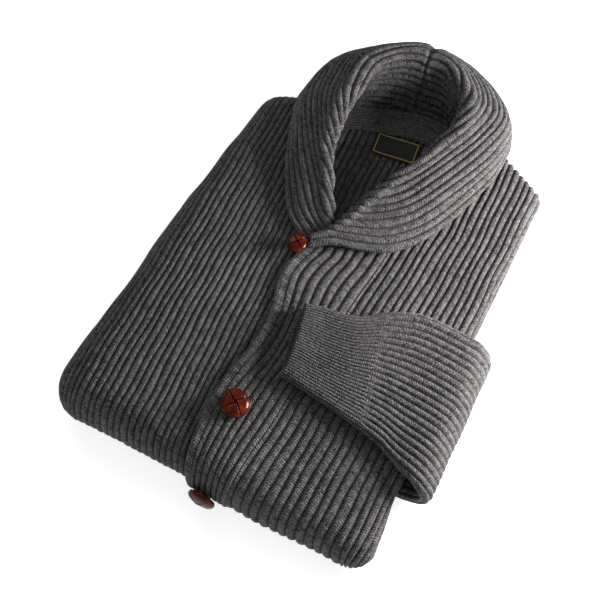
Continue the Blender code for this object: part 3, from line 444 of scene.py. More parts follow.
def slack(phase, place):
    """Loss of a ridge's height in millimetres: never more than RIB_SLACK."""
    one, other = [np.sin(place / length + step * phase) for length, step in SLACKS]
    return RIB_SLACK * (0.5 + 0.5 * one * other)


def ribbed(wall, groove, phase, place, least=0):
    """Thickness of ribbed cloth, never below a share of the rise to its ridge."""
    return groove + (wall - groove - slack(phase, place)) * np.maximum(
        rib(phase), least)


def rounded(low, high, off_edge, radius):
    """Levels low and high of a wall, brought together round its cut edge.

    The wall's half thickness follows a quarter circle of the radius.
    """
    t = np.clip(off_edge / radius, 0, 1)
    share = EDGE_SHARE + (1 - EDGE_SHARE) * np.sqrt(1 - (1 - t) ** 2)
    middle, half = (low + high) / 2, (high - low) / 2
    return middle - half * share, middle + half * share


# Soft dents and swells of the settled garment: centre, direction, radii, depth.
# The direction is the way that the cloth moves; the radii are along x, y and z.
SETTLE = (
    # centre,           moves to,       radii,         mm
    ((0, -62, 60), (0, 0, -1), (9, 40, 60), 6.5),
    ((-70, 60, 60), (0, 0, -1), (26, 60, 60), 2.2),
    ((-92, -60, 60), (0, 0, 1), (34, 50, 60), 2.0),
    ((-40, -120, 60), (0, 0, -1), (22, 46, 60), 1.8),
    ((60, -150, 50), (0, 0, -1), (40, 22, 50), 1.8),
    ((110, 70, 50), (0, 0, -1), (24, 60, 50), 2.2),
    ((120, -150, 40), (0, 0, 1), (30, 30, 50), 1.6),
    ((-155, -60, 25), (1, 0, 0), (30, 30, 40), 2.4),
    ((-150, 30, 25), (-1, 0, 0), (30, 34, 40), 1.6),
    ((-40, -215, 25), (0, 1, 0), (34, 30, 40), 2.2),
    ((60, -225, 25), (0, -1, 0), (36, 30, 40), 1.6),
    ((175, 90, 20), (-1, 0, 0), (30, 34, 30), 2.2),
    ((130, 220, 20), (-0.5, -0.8, 0), (30, 26, 30), 2.0),
    ((-70, 225, 20), (0.3, -0.9, 0), (30, 26, 30), 2.0),
)
SETTLE_WAVES = (
    # wave length, direction in plan, mm
    (97, 0.4, 0.5), (61, 1.7, 0.35), (143, 2.6, 0.6),
)
SETTLE_RISE = 0.5           # of a wave, as a share of its sideways size
SETTLE_FOOT = 14            # height over which the table holds the cloth still


def settle(points):
    """Moves points by soft bells and slow waves, less and less towards the table.

    Every piece takes the same field, so neighbours stay as far apart as they were.
    """
    points = np.asarray(points, float)
    moved = np.zeros_like(points)
    for centre, way, radii, depth in SETTLE:
        away = ((points - centre) / radii) ** 2
        moved += depth * np.exp(-away.sum(-1))[..., None] * np.array(way)
    for length, heading, size in SETTLE_WAVES:
        c, s = math.cos(heading), math.sin(heading)
        phase = (points[..., 0] * c + points[..., 1] * s) * math.tau / length
        moved += np.sin(phase)[..., None] * size * np.array([-s, c, SETTLE_RISE])
    return points + moved * smooth(points[..., 2:] / SETTLE_FOOT)


# --- Meshes ---
SHARP = math.radians(60)        # faces that meet at more than this stay creased


def placed(name, data, place=(0, 0, 0), facing=None):
    """Object in the scene instead of an earlier one, its -Z turned to a direction."""
    old = bpy.data.objects.get(name)
    if old is not None:
        bpy.data.objects.remove(old, do_unlink=True)
    obj = bpy.data.objects.new(name, data)
    obj.location = place
    if facing is not None:
        obj.rotation_euler = facing.to_track_quat("-Z", "Y").to_euler()
    bpy.context.scene.collection.objects.link(obj)
    return obj


def read(items, key, kind):
    """One whole number of every item of a mesh."""
    values = np.zeros(len(items), kind)
    items.foreach_get(key, values)
    return values


def piece(name, points, faces, look, uv=None, wrap=0.0, planes=()):
    """Object from points in millimetres, closed and faced outwards.

    uv: one (u, v) a point; wrap: the u at which a closed tube comes round again.
    planes: (point, normal); what lies on the normal's side is cut off and closed.
    """
    mesh = bpy.data.meshes.new(name)
    mesh.from_pydata((np.asarray(points, float) * MM).tolist(), [], faces)
    if uv is not None:
        values = np.asarray(uv, float)[read(mesh.loops, "vertex_index", np.int64)]
        if wrap:
            start = read(mesh.polygons, "loop_start", np.int64)
            first = np.repeat(values[start, 0], np.diff(np.append(start, len(values))))
            values[:, 0] -= wrap * np.round((values[:, 0] - first) / wrap)
        layer = mesh.uv_layers.new(name="Knit")
        layer.data.foreach_set("uv", values.astype(np.float32).ravel())
    bm = bmesh.new()
    bm.from_mesh(mesh)
    for point, normal in planes:
        bmesh.ops.bisect_plane(
            bm, geom=bm.verts[:] + bm.edges[:] + bm.faces[:], dist=1e-7,
            plane_co=[v * MM for v in point], plane_no=normal, clear_outer=True)
        rim = [edge for edge in bm.edges if edge.is_boundary]
        bmesh.ops.edgeloop_fill(bm, edges=rim)
    bmesh.ops.recalc_face_normals(bm, faces=bm.faces[:])
    bm.to_mesh(mesh)
    bm.free()
    place = np.zeros(len(mesh.vertices) * 3, np.float32)
    mesh.vertices.foreach_get("co", place)
    place = settle(place.reshape(-1, 3) / MM) * MM
    mesh.vertices.foreach_set("co", place.astype(np.float32).ravel())
    mesh.shade_smooth()
    mesh.set_sharp_from_angle(angle=SHARP)
    mesh.update()
    mesh.materials.append(look)
    return placed(name, mesh)


def grid_faces(columns, rows, first=0, closed=False, flip=False):
    """Quads of a grid of points (columns, rows), numbered from first."""
    c = np.arange(columns if closed else columns - 1)[:, None]
    r = np.arange(rows - 1)[None, :]
    nxt = (c + 1) % columns
    quads = np.stack([c * rows + r, nxt * rows + r, nxt * rows + r + 1,
                      c * rows + r + 1], axis=-1).reshape(-1, 4) + first
    return quads[:, ::-1] if flip else quads


def knit_wall(name, outer, inner, uv, look, keep, closed=False, planes=()):
    """Closed wall between a fine outer grid and an inner one of fewer columns.

    outer, inner: (columns, rows, 3); keep: the columns that the inner side uses.
    Its rims join every outer edge to the inner column before it.
    """
    columns, rows = outer.shape[:2]
    keep = np.asarray(keep)
    kept = len(keep)
    base = columns * rows
    points = np.concatenate([outer.reshape(-1, 3), inner[keep].reshape(-1, 3)])
    uvs = np.concatenate([uv.reshape(-1, 2), uv[keep].reshape(-1, 2)])
    faces = [*grid_faces(columns, rows, 0, closed).tolist(),
             *grid_faces(kept, rows, base, closed, flip=True).tolist()]
    c = np.arange(columns if closed else columns - 1)
    k_of = np.searchsorted(keep, c, side="right") - 1
    k = np.arange(kept if closed else kept - 1)
    k_next = (k + 1) % kept
    for r in (0, rows - 1):
        fan = np.stack([c * rows + r, (c + 1) % columns * rows + r,
                        base + k_of * rows + r], axis=-1)
        back = np.stack([keep[k_next] * rows + r, base + k_next * rows + r,
                         base + k * rows + r], axis=-1)
        faces += np.concatenate([fan, back]).tolist()
    if not closed:
        r = np.arange(rows - 1)
        for c, k in ((0, 0), (columns - 1, kept - 1)):
            faces += np.stack([c * rows + r, c * rows + r + 1, base + k * rows + r + 1,
                               base + k * rows + r], axis=-1).tolist()
    wrap = 0.0
    if closed:
        wrap = float(2 * uv[-1, 0, 0] - uv[-2, 0, 0] - uv[0, 0, 0])
    return piece(name, points, faces, look, uvs, wrap, planes)


def kept_columns(columns, step, rim=0):
    """Every step-th column, and all of the first and last rim ones."""
    keep = set(range(0, columns, step)) | set(range(rim)) | set(
        range(columns - rim, columns))
    return np.array(sorted(keep | {columns - 1}))


def dress(obj, slot, *nodes):
    """Ties a piece to the garment's body and hides the solids that it stands for; its
    slot is not used.
    """
    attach(obj, BODY)
    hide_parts(*nodes)


# --- Materials ---
class Graph:
    """Short way to lay nodes in a tree."""

    def __init__(self, tree):
        self.tree = tree

    def node(self, kind, inputs=None, **settings):
        """New node with settings; inputs: {name or number: value or socket}."""
        made = self.tree.nodes.new(kind)
        for key, value in settings.items():
            setattr(made, key, value)
        self.fill(made, inputs or {})
        return made

    def fill(self, node, inputs):
        """Links or sets a node's inputs."""
        for key, value in inputs.items():
            if isinstance(value, bpy.types.NodeSocket):
                self.tree.links.new(value, node.inputs[key])
            else:
                node.inputs[key].default_value = value

    def math(self, operation, *values, clamp=False):
        """One Math node's result."""
        return self.node("ShaderNodeMath", dict(enumerate(values)),
                         operation=operation, use_clamp=clamp).outputs[0]

    def times(self, a, b):
        """Product of two values."""
        return self.math("MULTIPLY", a, b)

    def mad(self, a, b, c):
        """a times b plus c."""
        return self.math("MULTIPLY_ADD", a, b, c)

    def ease(self, value, low, high, to_low=0.0, to_high=1.0):
        """Smooth step of a value from low to high."""
        return self.node("ShaderNodeMapRange", {
            "Value": value, "From Min": low, "From Max": high, "To Min": to_low,
            "To Max": to_high}, interpolation_type="SMOOTHSTEP").outputs["Result"]

    def mix(self, share, a, b):
        """Mixed colour."""
        return self.node("ShaderNodeMix", {0: share, 6: a, 7: b},
                         data_type="RGBA").outputs[2]

    def shaded(self, colour, factor):
        """Colour times a factor."""
        return self.node("ShaderNodeVectorMath", {0: colour, 3: factor},
                         operation="SCALE").outputs[0]

    def noise(self, vector, scale, detail=2.0, roughness=0.5):
        """Noise value about 0.5."""
        return self.node("ShaderNodeTexNoise", {
            "Vector": vector, "Scale": scale, "Detail": detail,
            "Roughness": roughness}).outputs["Fac"]

    def bump(self, strength, distance, height):
        """Normal of a relief."""
        return self.node("ShaderNodeBump", {
            "Strength": strength, "Distance": distance, "Height": height}).outputs[0]

    def place(self):
        """Place in the object's own frame."""
        return self.node("ShaderNodeTexCoord").outputs["Object"]

    def knit_uv(self):
        """Place on the cloth: ribs and stitches, or millimetres on the label."""
        return self.node("ShaderNodeUVMap", uv_map="Knit").outputs[0]


STITCH_INPUTS = (
    ("Ribs", "Vector", None), ("Place", "Vector", None),
    ("Light", "Color", (0.15, 0.15, 0.15, 1)), ("Dark", "Color", (0.03, 0.03, 0.03, 1)),
    ("Groove", "Float", 0.45), ("Slant", "Float", 1.3),
)
STITCH_OUTPUTS = (("Color", "Color", None), ("Height", "Float", None),
                  ("Rough", "Float", None))
# noises: scale, detail and roughness
WOBBLE, FIBRE = (260.0, 1.0), (2300.0, 3.0, 0.7)
FLECK, BROAD = (900.0, 3.0, 0.7), (18.0, 2.0)
GRAIN, BLOTCH, THREAD, CLOUD = (900.0, 3.0, 0.6), (140.0,), (3000.0, 1.0), (6.0,)
# stitch: drift across and along, roundness; then ranges from, to, start and end value
WOBBLE_ACROSS, WOBBLE_ALONG, HUMP_POWER = 0.10, 0.5, 0.6
RIDGE_DIP, CREASE = (0.0, 0.09, 0.45, 1.0), (0.0, 0.22, 0.72, 1.0)
BETWEEN, KNIT_BUMP = (0.30, 0.47), 0.85
FIBRE_HEIGHT, FIBRE_ROUGH = 0.55, (0.2, 0.8)
# marl: range of the flecks, and what flecks, legs and broad clouds add to the tone
FLECK_RANGE, FLECK_TONE, LEG_TONE, BROAD_TONE = (0.41, 0.59), 0.62, 0.42, (0.3, -0.19)
LEG_CELL = 0.25     # step sideways that gives the two legs of a rib their own tones


def stitch_group():
    """Knitted stitches on ribs: marled colour with painted shade between ribs and
    between stitches, height and roughness.

    u counts ribs and v stitches.  Each rib is a column of V stitches: two legs that
    rise away from the ridge, each one stitch high and rounded.
    """
    name = "knit_stitches"
    if name in bpy.data.node_groups:
        return bpy.data.node_groups[name]
    tree = bpy.data.node_groups.new(name, "ShaderNodeTree")
    for direction, sockets in (("INPUT", STITCH_INPUTS), ("OUTPUT", STITCH_OUTPUTS)):
        for socket, kind, value in sockets:
            made = tree.interface.new_socket(
                name=socket, in_out=direction, socket_type=f"NodeSocket{kind}")
            if value is not None:
                made.default_value = value
    g = Graph(tree)
    given = g.node("NodeGroupInput").outputs
    split = g.node("ShaderNodeSeparateXYZ", {0: given["Ribs"]}).outputs
    wobble = g.noise(given["Place"], *WOBBLE)
    u = g.math("ADD", split["X"], g.mad(wobble, WOBBLE_ACROSS, -WOBBLE_ACROSS / 2))
    v = g.math("ADD", split["Y"], g.mad(wobble, WOBBLE_ALONG, -WOBBLE_ALONG / 2))
    away = g.math("PINGPONG", u, 0.5)
    leg = g.mad(away, given["Slant"], v)
    part = g.math("FRACT", leg)
    hump = g.math("POWER", g.math("SINE", g.times(part, math.pi)), HUMP_POWER)
    side = g.math("SIGN", g.math("SUBTRACT", g.math("FRACT", g.math("ADD", u, 0.5)),
                                 0.5))
    fibre = g.noise(given["Place"], *FIBRE)
    height = g.mad(fibre, FIBRE_HEIGHT, g.times(hump, g.ease(away, *RIDGE_DIP)))
    # marl: a tone for each leg of each stitch, and finer flecks along the fibres
    cell = g.node("ShaderNodeCombineXYZ", {
        0: g.mad(side, LEG_CELL, g.math("ROUND", u)),
        1: g.math("FLOOR", leg)}).outputs[0]
    leg_tone = g.node("ShaderNodeTexWhiteNoise", {"Vector": cell},
                      noise_dimensions="2D").outputs["Value"]
    fleck = g.ease(g.noise(given["Place"], *FLECK), *FLECK_RANGE)
    broad = g.noise(given["Place"], *BROAD)
    tone = g.mad(fleck, FLECK_TONE, g.times(leg_tone, LEG_TONE))
    tone = g.math("ADD", tone, g.mad(broad, *BROAD_TONE), clamp=True)
    # shade: less light between two ribs and where one stitch enters the next
    lost = g.times(g.ease(away, *BETWEEN), g.math("SUBTRACT", 1.0, given["Groove"]))
    shade = g.times(g.ease(part, *CREASE), g.math("SUBTRACT", 1.0, lost))
    g.node("NodeGroupOutput", {
        "Color": g.shaded(g.mix(tone, given["Dark"], given["Light"]), shade),
        "Height": height, "Rough": g.mad(fibre, *FIBRE_ROUGH)})
    return tree


def new_material(name, lay, *given):
    """Fresh material; lay(graph, *given) returns its shader's inputs."""
    mat = bpy.data.materials.new(name)
    mat.use_nodes = True
    g = Graph(mat.node_tree)
    g.fill(mat.node_tree.nodes["Principled BSDF"], lay(g, *given))
    return mat


def finish(name, lay, *given):
    """Material of a name, made at its first use."""
    return bpy.data.materials.get(name) or new_material(name, lay, *given)


def lay_knit(g, tint):
    """Charcoal marl wool in rib stitch; tint: brightness of the yarn."""
    knit = bpy.context.scene.cardigan_knit
    stitches = g.node("ShaderNodeGroup", node_tree=stitch_group())
    g.fill(stitches, {
        "Ribs": g.knit_uv(), "Place": g.place(), "Groove": knit.groove,
        "Light": (*[c * tint for c in knit.light], 1),
        "Dark": (*[c * tint for c in knit.dark], 1)})
    return {"Base Color": stitches.outputs["Color"],
            "Roughness": stitches.outputs["Rough"],
            "Normal": g.bump(KNIT_BUMP, knit.relief, stitches.outputs["Height"]),
            "Specular IOR Level": 0.25, "Sheen Weight": 0.12, "Sheen Roughness": 0.45}


def knit_material(name="charcoal_knit", tint=1.0):
    """Knit finish of a slot."""
    return finish(name + "_finish", lay_knit, tint)


def lay_leather(g):
    """Polished red leather: painted shade in the creases, painted highlights on the
    strands' edges, worn to orange in patches.
    """
    look = bpy.context.scene.cardigan_buttons
    place = g.place()
    # painted shade in the grooves and the hole and painted highlights on the strands'
    # edges
    painted_shade_and_highlight = g.node("ShaderNodeAttribute", attribute_name="painted_shade_and_highlight").outputs["Fac"]
    grain = g.noise(place, *GRAIN)
    blotch = g.noise(place, *BLOTCH)
    share = g.math("ADD", g.ease(painted_shade_and_highlight, *CROWN_RANGE),
                   g.mad(blotch, CROWN_BLOTCH, -CROWN_BLOTCH / 2), clamp=True)
    colour = g.mix(share, (*look.dark_leather_and_crease_shade, 1), (*look.leather, 1))
    patch = g.times(g.ease(blotch, *WORN_BLOTCH), g.ease(grain, *WORN_GRAIN))
    return {"Base Color": g.mix(g.times(patch, WORN_SHARE), colour, WORN_COLOUR),
            "Roughness": g.mad(grain, *LEATHER_ROUGH),
            "Normal": g.bump(*LEATHER_BUMP, grain),
            "Specular IOR Level": 0.08, "Coat Weight": 0.25, "Coat Roughness": 0.05}


def lay_label(g):
    """Satin weave label with one plain border line in a second thread."""
    trim = bpy.context.scene.cardigan_trims
    split = g.node("ShaderNodeSeparateXYZ", {0: g.knit_uv()}).outputs
    # distance inside the border, in millimetres: the nearer of the two edges
    inside = g.math("MINIMUM", *[
        g.math("SUBTRACT", size / 2, g.math("ABSOLUTE", split[axis]))
        for axis, size in zip("XY", LABEL_SIZE)])
    line = g.math("COMPARE", inside, *LABEL_LINE)
    weave = g.math("ADD", *[
        g.math("PINGPONG", g.times(split[axis], threads), 0.5)
        for axis, threads in zip("XY", LABEL_THREADS)])
    thread = g.noise(g.place(), *THREAD)
    shade = g.mad(weave, LABEL_SHADE[0], g.times(thread, LABEL_SHADE[1]))
    ground, gold = [g.shaded(tuple(c), shade) for c in (trim.ground, trim.border)]
    return {"Base Color": g.mix(line, ground, gold),
            "Roughness": g.mad(thread, *LABEL_ROUGH),
            "Normal": g.bump(*LABEL_BUMP, g.mad(line, LABEL_RAISED, weave)),
            "Sheen Weight": 0.1}


# --- Fronts ---
FRONT_TURNS = np.radians(np.linspace(156, 0, 40))
FRONT_FLAT = np.linspace(0, 1, 82)[1:]
FRONT_TOP = 1 - (1 - np.linspace(0, 1, 18)[1:]) ** 1.5
BOTTOM_LINE, TOP_LINE = BEND_LINE[:2], BEND_LINE[4:10]
SEAM_FAN_TOP = 120              # y past which the ribs no longer fan
TOP_STEPS, SEAM_STEPS = 10, 6   # in which places that depend on each other are found


def turn_at(line, x, own):
    """x kept on part of the bend line, its y there and the cloth's radius of bend."""
    rows = sorted(line)
    x = np.clip(x, rows[0][0], rows[-1][0])
    y = polyline(rows, x)
    low = polyline([(row[0], row[2]) for row in rows], x)
    return x, y, fold_radius(x, y, low) + own


def front_rows(wales, neckline, own):
    """y of every row of every wale, and its distance below the top edge.

    From under the bottom fold up to the neckline, or over the shoulder's turn,
    which grows from nothing at the neck point.
    """
    _, foot_y, bend = turn_at(BOTTOM_LINE, wales, own)
    under = foot_y[:, None] - FRONT_TURNS * bend[:, None]
    head_x, head_y, bend = turn_at(TOP_LINE, wales, own)
    past = (np.abs(wales) - abs(neckline[-1][0])) / SHOULDER_START
    share = smooth(past)
    round_side = np.maximum(0, np.abs(wales) - np.abs(head_x)) / bend
    turn = np.sqrt(np.maximum(SHOULDER_TURN ** 2 - round_side ** 2, CORNER_TURN ** 2))
    neck_end = polyline(neckline, wales)
    end = np.where(past > 0, head_y + share * turn * bend, neck_end)
    flat_end = np.where(past > 0, head_y - (1 - share) * NECK_ROWS,
                        neck_end - NECK_ROWS)
    flat = foot_y[:, None] + (flat_end - foot_y)[:, None] * FRONT_FLAT
    top = flat_end[:, None] + (end - flat_end)[:, None] * FRONT_TOP
    rows = np.concatenate([under, flat, top], axis=1)
    return rows, end[:, None] - rows


def seam_x(y):
    """x of the band's seam, a straight line, at y."""
    slope = (SEAM_TOP[0] - SEAM_FOOT[0]) / (SEAM_TOP[1] - SEAM_FOOT[1])
    return SEAM_FOOT[0] + slope * (y - SEAM_FOOT[1])


def fan(wale, y):
    """x of a wale of the left front at y: even from the band's seam to the fold."""
    seam = seam_x(np.clip(y, SEAM_FOOT[1], SEAM_FAN_TOP)) - 1
    fold, rest = edge_x(y, 1), edge_x(0.0, 1)
    share = (wale - RIGHT_FRONT_EDGE) / (rest - RIGHT_FRONT_EDGE)
    return np.where(share < 1, seam + (fold - seam) * share, fold + wale - rest)


def front_piece(name, wales, phase, spread, neckline, level, own, planes):
    """Front panel: rounded ribs outside, plain inside, wrapped round the folds.

    spread gives a wale's x at a y.  Its top row and its x there depend on each
    other and are found in steps.
    """
    top_x = wales
    for _ in range(TOP_STEPS):
        rows, off_top = front_rows(top_x, neckline, own)
        top_x = (top_x + spread(wales, rows[:, -1])) / 2
    across = phase[:, None] + 0 * rows
    x = spread(wales[:, None], rows) + wander(across, rows, phase.max())
    height = ribbed(WALL, GROOVE_WALL, across, rows)
    outer, inner = [drape(x, rows, level + side, own)
                    for side in rounded(0 * rows, height, off_top, WALL / 2)[::-1]]
    return knit_wall(name, outer, inner, xyz(across, rows / STITCH), knit_material(),
                     kept_columns(len(wales), RIB_SAMPLES // 2), planes=planes)


def seam_across():
    """Unit vector across the band seam, to the right."""
    up = unit(np.subtract(SEAM_TOP, SEAM_FOOT))
    return np.array([up[1], -up[0]])


class CARDIGAN_OT_fronts(Operator):
    """Knit the two fronts, wrapped round the side and bottom folds"""

    bl_idname = "cardigan.fronts"
    bl_label = "Fronts"

    def execute(self, context):
        """Right front under the band, left front from the band's seam."""
        count = RIGHT_FRONT_RIBS * RIB_SAMPLES
        phase = np.arange(count, -1, -1) / RIB_SAMPLES
        wales = (RIGHT_FRONT_EDGE - SEAM_GAP
                 - RIGHT_FRONT_WIDTH / RIGHT_FRONT_RIBS * phase)
        right = front_piece("knit_right_front", wales, phase, lean, NECKLINE_LEFT, 0,
                            RIGHT_OWN, (HEM_PLANE,))
        dress(right, "charcoal_knit", "right_front")
        phase = np.arange(LEFT_FRONT_RIBS[-1][0] * RIB_SAMPLES + 1) / RIB_SAMPLES
        seam = ((*SEAM_TOP, 0), (*-seam_across(), 0))
        left = front_piece("knit_left_front", polyline(LEFT_FRONT_RIBS, phase), phase,
                           fan, NECKLINE_RIGHT, LIFT, LEFT_OWN, (HEM_PLANE, seam))
        dress(left, "charcoal_knit", "left_front")
        return {"FINISHED"}


# --- Button band ---
BAND_TURNS = np.radians(np.linspace(150, 0, 36))
BAND_FLAT = np.linspace(0, 1, 101)[1:]
BAND_FREE_RIBS = (1.5, 2)       # the free edge is plain up to here, ribbed from here
BAND_PLAIN = 0.8                # height of the plain edge, as a share of a ridge's
BAND_EDGE_SHARE = 0.9           # of its stitches' width, widened towards the edge
BAND_LIFT_TURN = 0.5            # turn in radians over which the band lifts off


def seam_wale(y):
    """x on the flat cloth whose folded place lies just left of the seam."""
    across = seam_across()
    x = seam_x(y)
    for _ in range(SEAM_STEPS):
        placed_at = drape(x, y, LIFT + BAND_WALL, LEFT_OWN)[..., :2]
        x = x - ((placed_at - SEAM_TOP) @ across + SEAM_GAP)
    return x


class CARDIGAN_OT_band(Operator):
    """Knit the button band along the left front's edge"""

    bl_idname = "cardigan.band"
    bl_label = "Button band"

    def execute(self, context):
        """Eight ribs from the free edge to the seam, each a share of the width."""
        count = BAND_RIBS * RIB_SAMPLES
        shares = (np.arange(count + 1) / count)[:, None]
        top = BAND_TOP[0] + (BAND_TOP[1] - BAND_TOP[0]) * shares
        _, foot_y, bend = turn_at(
            BOTTOM_LINE, BAND_EDGE[-1][1] + BAND_FOOT_WIDTH * shares, LEFT_OWN)
        y = np.concatenate([foot_y - BAND_TURNS * bend,
                            foot_y + (top - foot_y) * BAND_FLAT], axis=1)
        edge = along(BAND_EDGE, y)
        width = seam_wale(y) - edge
        across = shares * BAND_RIBS + 0.5 + 0 * y
        x = edge + width * shares + wander(across - 0.5, y, BAND_RIBS)
        start, end = BAND_FREE_RIBS
        plain = 1 - smooth((across - start) / (end - start))
        height = ribbed(BAND_WALL, BAND_GROOVE, across, y, BAND_PLAIN * plain)
        turned = np.concatenate([smooth(BAND_TURNS / BAND_LIFT_TURN), 0 * BAND_FLAT])
        lift = LIFT + BAND_EASE * turned
        off = np.minimum(width * shares, top - y)
        outer, inner = [drape(x, y, lift + side, LEFT_OWN)
                        for side in rounded(0 * y, height, off, BAND_WALL / 2)[::-1]]
        # the plain edge strip keeps its u near a ridge, out of the painted shade
        # between ribs
        strip = (BAND_EDGE_SHARE * np.maximum(0, end - across)) ** 0.5
        shown = np.where(across < end, end - strip, across)
        band = knit_wall("knit_button_band", outer, inner, xyz(shown, y / STITCH),
                         knit_material(),
                         kept_columns(count + 1, RIB_SAMPLES // 2, RIB_SAMPLES // 2),
                         planes=(HEM_PLANE,))
        dress(band, "charcoal_knit", "left_button_band")
        return {"FINISHED"}


# --- Inside of the back and the folded layers ---
def inside_neck(x, y):
    """Distance inside the neck opening, seen from above; below 0 outside it."""
    left = polyline(NECKLINE_LEFT, y, 1)
    right = polyline(NECKLINE_RIGHT, y, 1)
    throat = polyline((NECKLINE_LEFT[0], NECKLINE_RIGHT[0]), x)
    return np.minimum(np.minimum(x - left, right - x), y - throat)


BACK_LOW = 1.5              # the folded layers keep this far under the back
BACK_TUCK = 6               # the back runs this far under the collar's seam
BACK_DIP_WIDTH = 8          # over which it goes down or up to pass under it
BACK_PLAIN = (5, 4)         # of the dip: where its ribs end, and over what length
BACK_CLEAR = 3              # from the edges of the neckline
BACK_ROWS = 76
BACK_SEAM = ((-66, 46), (-51, 41), (-24, 37), (2, 36), (54, 36.5), (76, 42), (88, 48))


class CARDIGAN_OT_back(Operator):
    """Knit the inside of the back, seen through the neck"""

    bl_idname = "cardigan.back"
    bl_label = "Inside of the back"

    def execute(self, context):
        """Ribs that lie flat and rise a little towards the collar's seam."""
        first, last = NECKLINE_LEFT[-1][0] + 1, NECKLINE_RIGHT[-1][0] - 1
        ribs = round((last - first) / RIB_PITCH)
        phase = (np.arange(ribs * RIB_SAMPLES + 1) / RIB_SAMPLES)[:, None]
        wales = first + (last - first) / ribs * phase
        throat = (NECKLINE_LEFT[0], NECKLINE_RIGHT[0])
        low = np.maximum.reduce([
            polyline(NECKLINE_LEFT, np.minimum(wales - BACK_CLEAR, throat[0][0])),
            polyline(NECKLINE_RIGHT, np.maximum(wales + BACK_CLEAR, throat[1][0])),
            polyline(throat, wales) + BACK_CLEAR])
        high = polyline(BACK_NECK, wales) + BACK_TUCK
        y = low + (high - low) * np.linspace(0, 1, BACK_ROWS)
        across = phase + 0 * y
        x = wales + wander(across, y, ribs)
        past = y - (high - BACK_TUCK - BACK_DIP_WIDTH)
        base = FLOOR + (polyline(BACK_SEAM, x) - FLOOR) * smooth(past / BACK_DIP_WIDTH)
        under = smooth((past - BACK_PLAIN[0]) / BACK_PLAIN[1])
        height = ribbed(WALL, GROOVE_WALL, across, y, under)
        back = knit_wall("knit_back", xyz(x, y, base + height), xyz(x, y, base),
                         xyz(across, y / STITCH), knit_material(),
                         kept_columns(len(wales), RIB_SAMPLES // 2))
        dress(back, "charcoal_knit", "back")
        return {"FINISHED"}


OUTLINE_TURN, OUTLINE_STEP = math.radians(4), 2.0   # at its corners, along its edges


def bend_outline():
    """Points round the bend line: foot, outward direction, low and crease."""
    line = np.array(BEND_LINE, float)
    edges = np.roll(line, -1, axis=0) - line
    heading = np.unwrap(np.arctan2(edges[:, 1], edges[:, 0]))
    feet, facing = [], []
    for i, corner in enumerate(line):
        turn = (heading[i] - heading[i - 1] + math.pi) % math.tau - math.pi
        size = np.hypot(*edges[i, :2])
        for count, way, swing in ((abs(turn) / OUTLINE_TURN, 0 * corner, turn),
                                  (size / OUTLINE_STEP, edges[i], 0)):
            share = np.arange(max(2, round(count))) / max(2, round(count))
            feet.append(corner + way * share[:, None])
            facing.append(heading[i] - swing + swing * share - math.pi / 2)
    foot_x, foot_y, low, crease = np.concatenate(feet).T
    facing = np.concatenate(facing)
    return foot_x, foot_y, np.cos(facing), np.sin(facing), low, crease


LAYER_RING_SHARES = np.linspace(0.06, 0.97, 40)
LAYER_RING_TURNS = np.linspace(0, LAYER_LAST_TURN, 30)
LAYER_EDGE_STEPS = 64
LAYER_STEP_X = RIGHT_FRONT_EDGE + 1     # to its right they lie under the left front
LAYER_STEP_SHIFT = (8, 0.2)             # of that step past the fold: mm, turn
LAYER_INSET_TURN = 0.35                 # turn over which a second gap opens
LAYER_RIB, LAYER_RIB_START = 2.0, 0.12  # height of the edge's ribs, share of the rise
LAYER_SIDE_RIBS = 6                     # along the sides
LAYER_STITCHES = 0.8                    # of a ring, over the shoulders
SIDE_FROM, SIDE_OVER = 0.5, 0.3         # how far outward in x counts as a side
SLOT_FROM_X = 140                       # the sleeve enters on the right alone
NECK_EASE = 6                           # outside the neck, over which the layers dip
NECK_DEEPER = 2                         # past the back's seam


def facing_side(out_x):
    """1 where the edge faces left or right, and 0 where it faces up or down."""
    return smooth((np.abs(out_x) - SIDE_FROM) / SIDE_OVER)


def layer_rings(foot_x, foot_y, out_x, out_y, low, crease):
    """Rings from the middle out to the bend line, and then round the fold."""
    rings = []
    for share in LAYER_RING_SHARES:
        x, y = [middle + (foot - middle) * share
                for middle, foot in zip(LAYER_MIDDLE, (foot_x, foot_y))]
        level = np.where(x > LAYER_STEP_X, LIFT, 0) - LAYER_GAP
        rings.append(xyz(x, y, cloth_height(x, y) + level))
    shift, shift_turn = LAYER_STEP_SHIFT
    for turn in LAYER_RING_TURNS:
        step = LAYER_STEP_X + shift * smooth(turn / shift_turn)
        level = np.where(foot_x > step, LIFT, 0.0) - LAYER_GAP
        furrow = ((turn - LAYER_CREASE_TURN) / LAYER_CREASE_SPREAD) ** 2
        inset = (LAYER_GAP * smooth(turn / LAYER_INSET_TURN)
                 + LAYER_CREASE * crease * math.exp(-furrow))
        rings.append(around_fold(foot_x, foot_y, out_x, out_y, turn, low, crease,
                                 level - inset))
    return rings


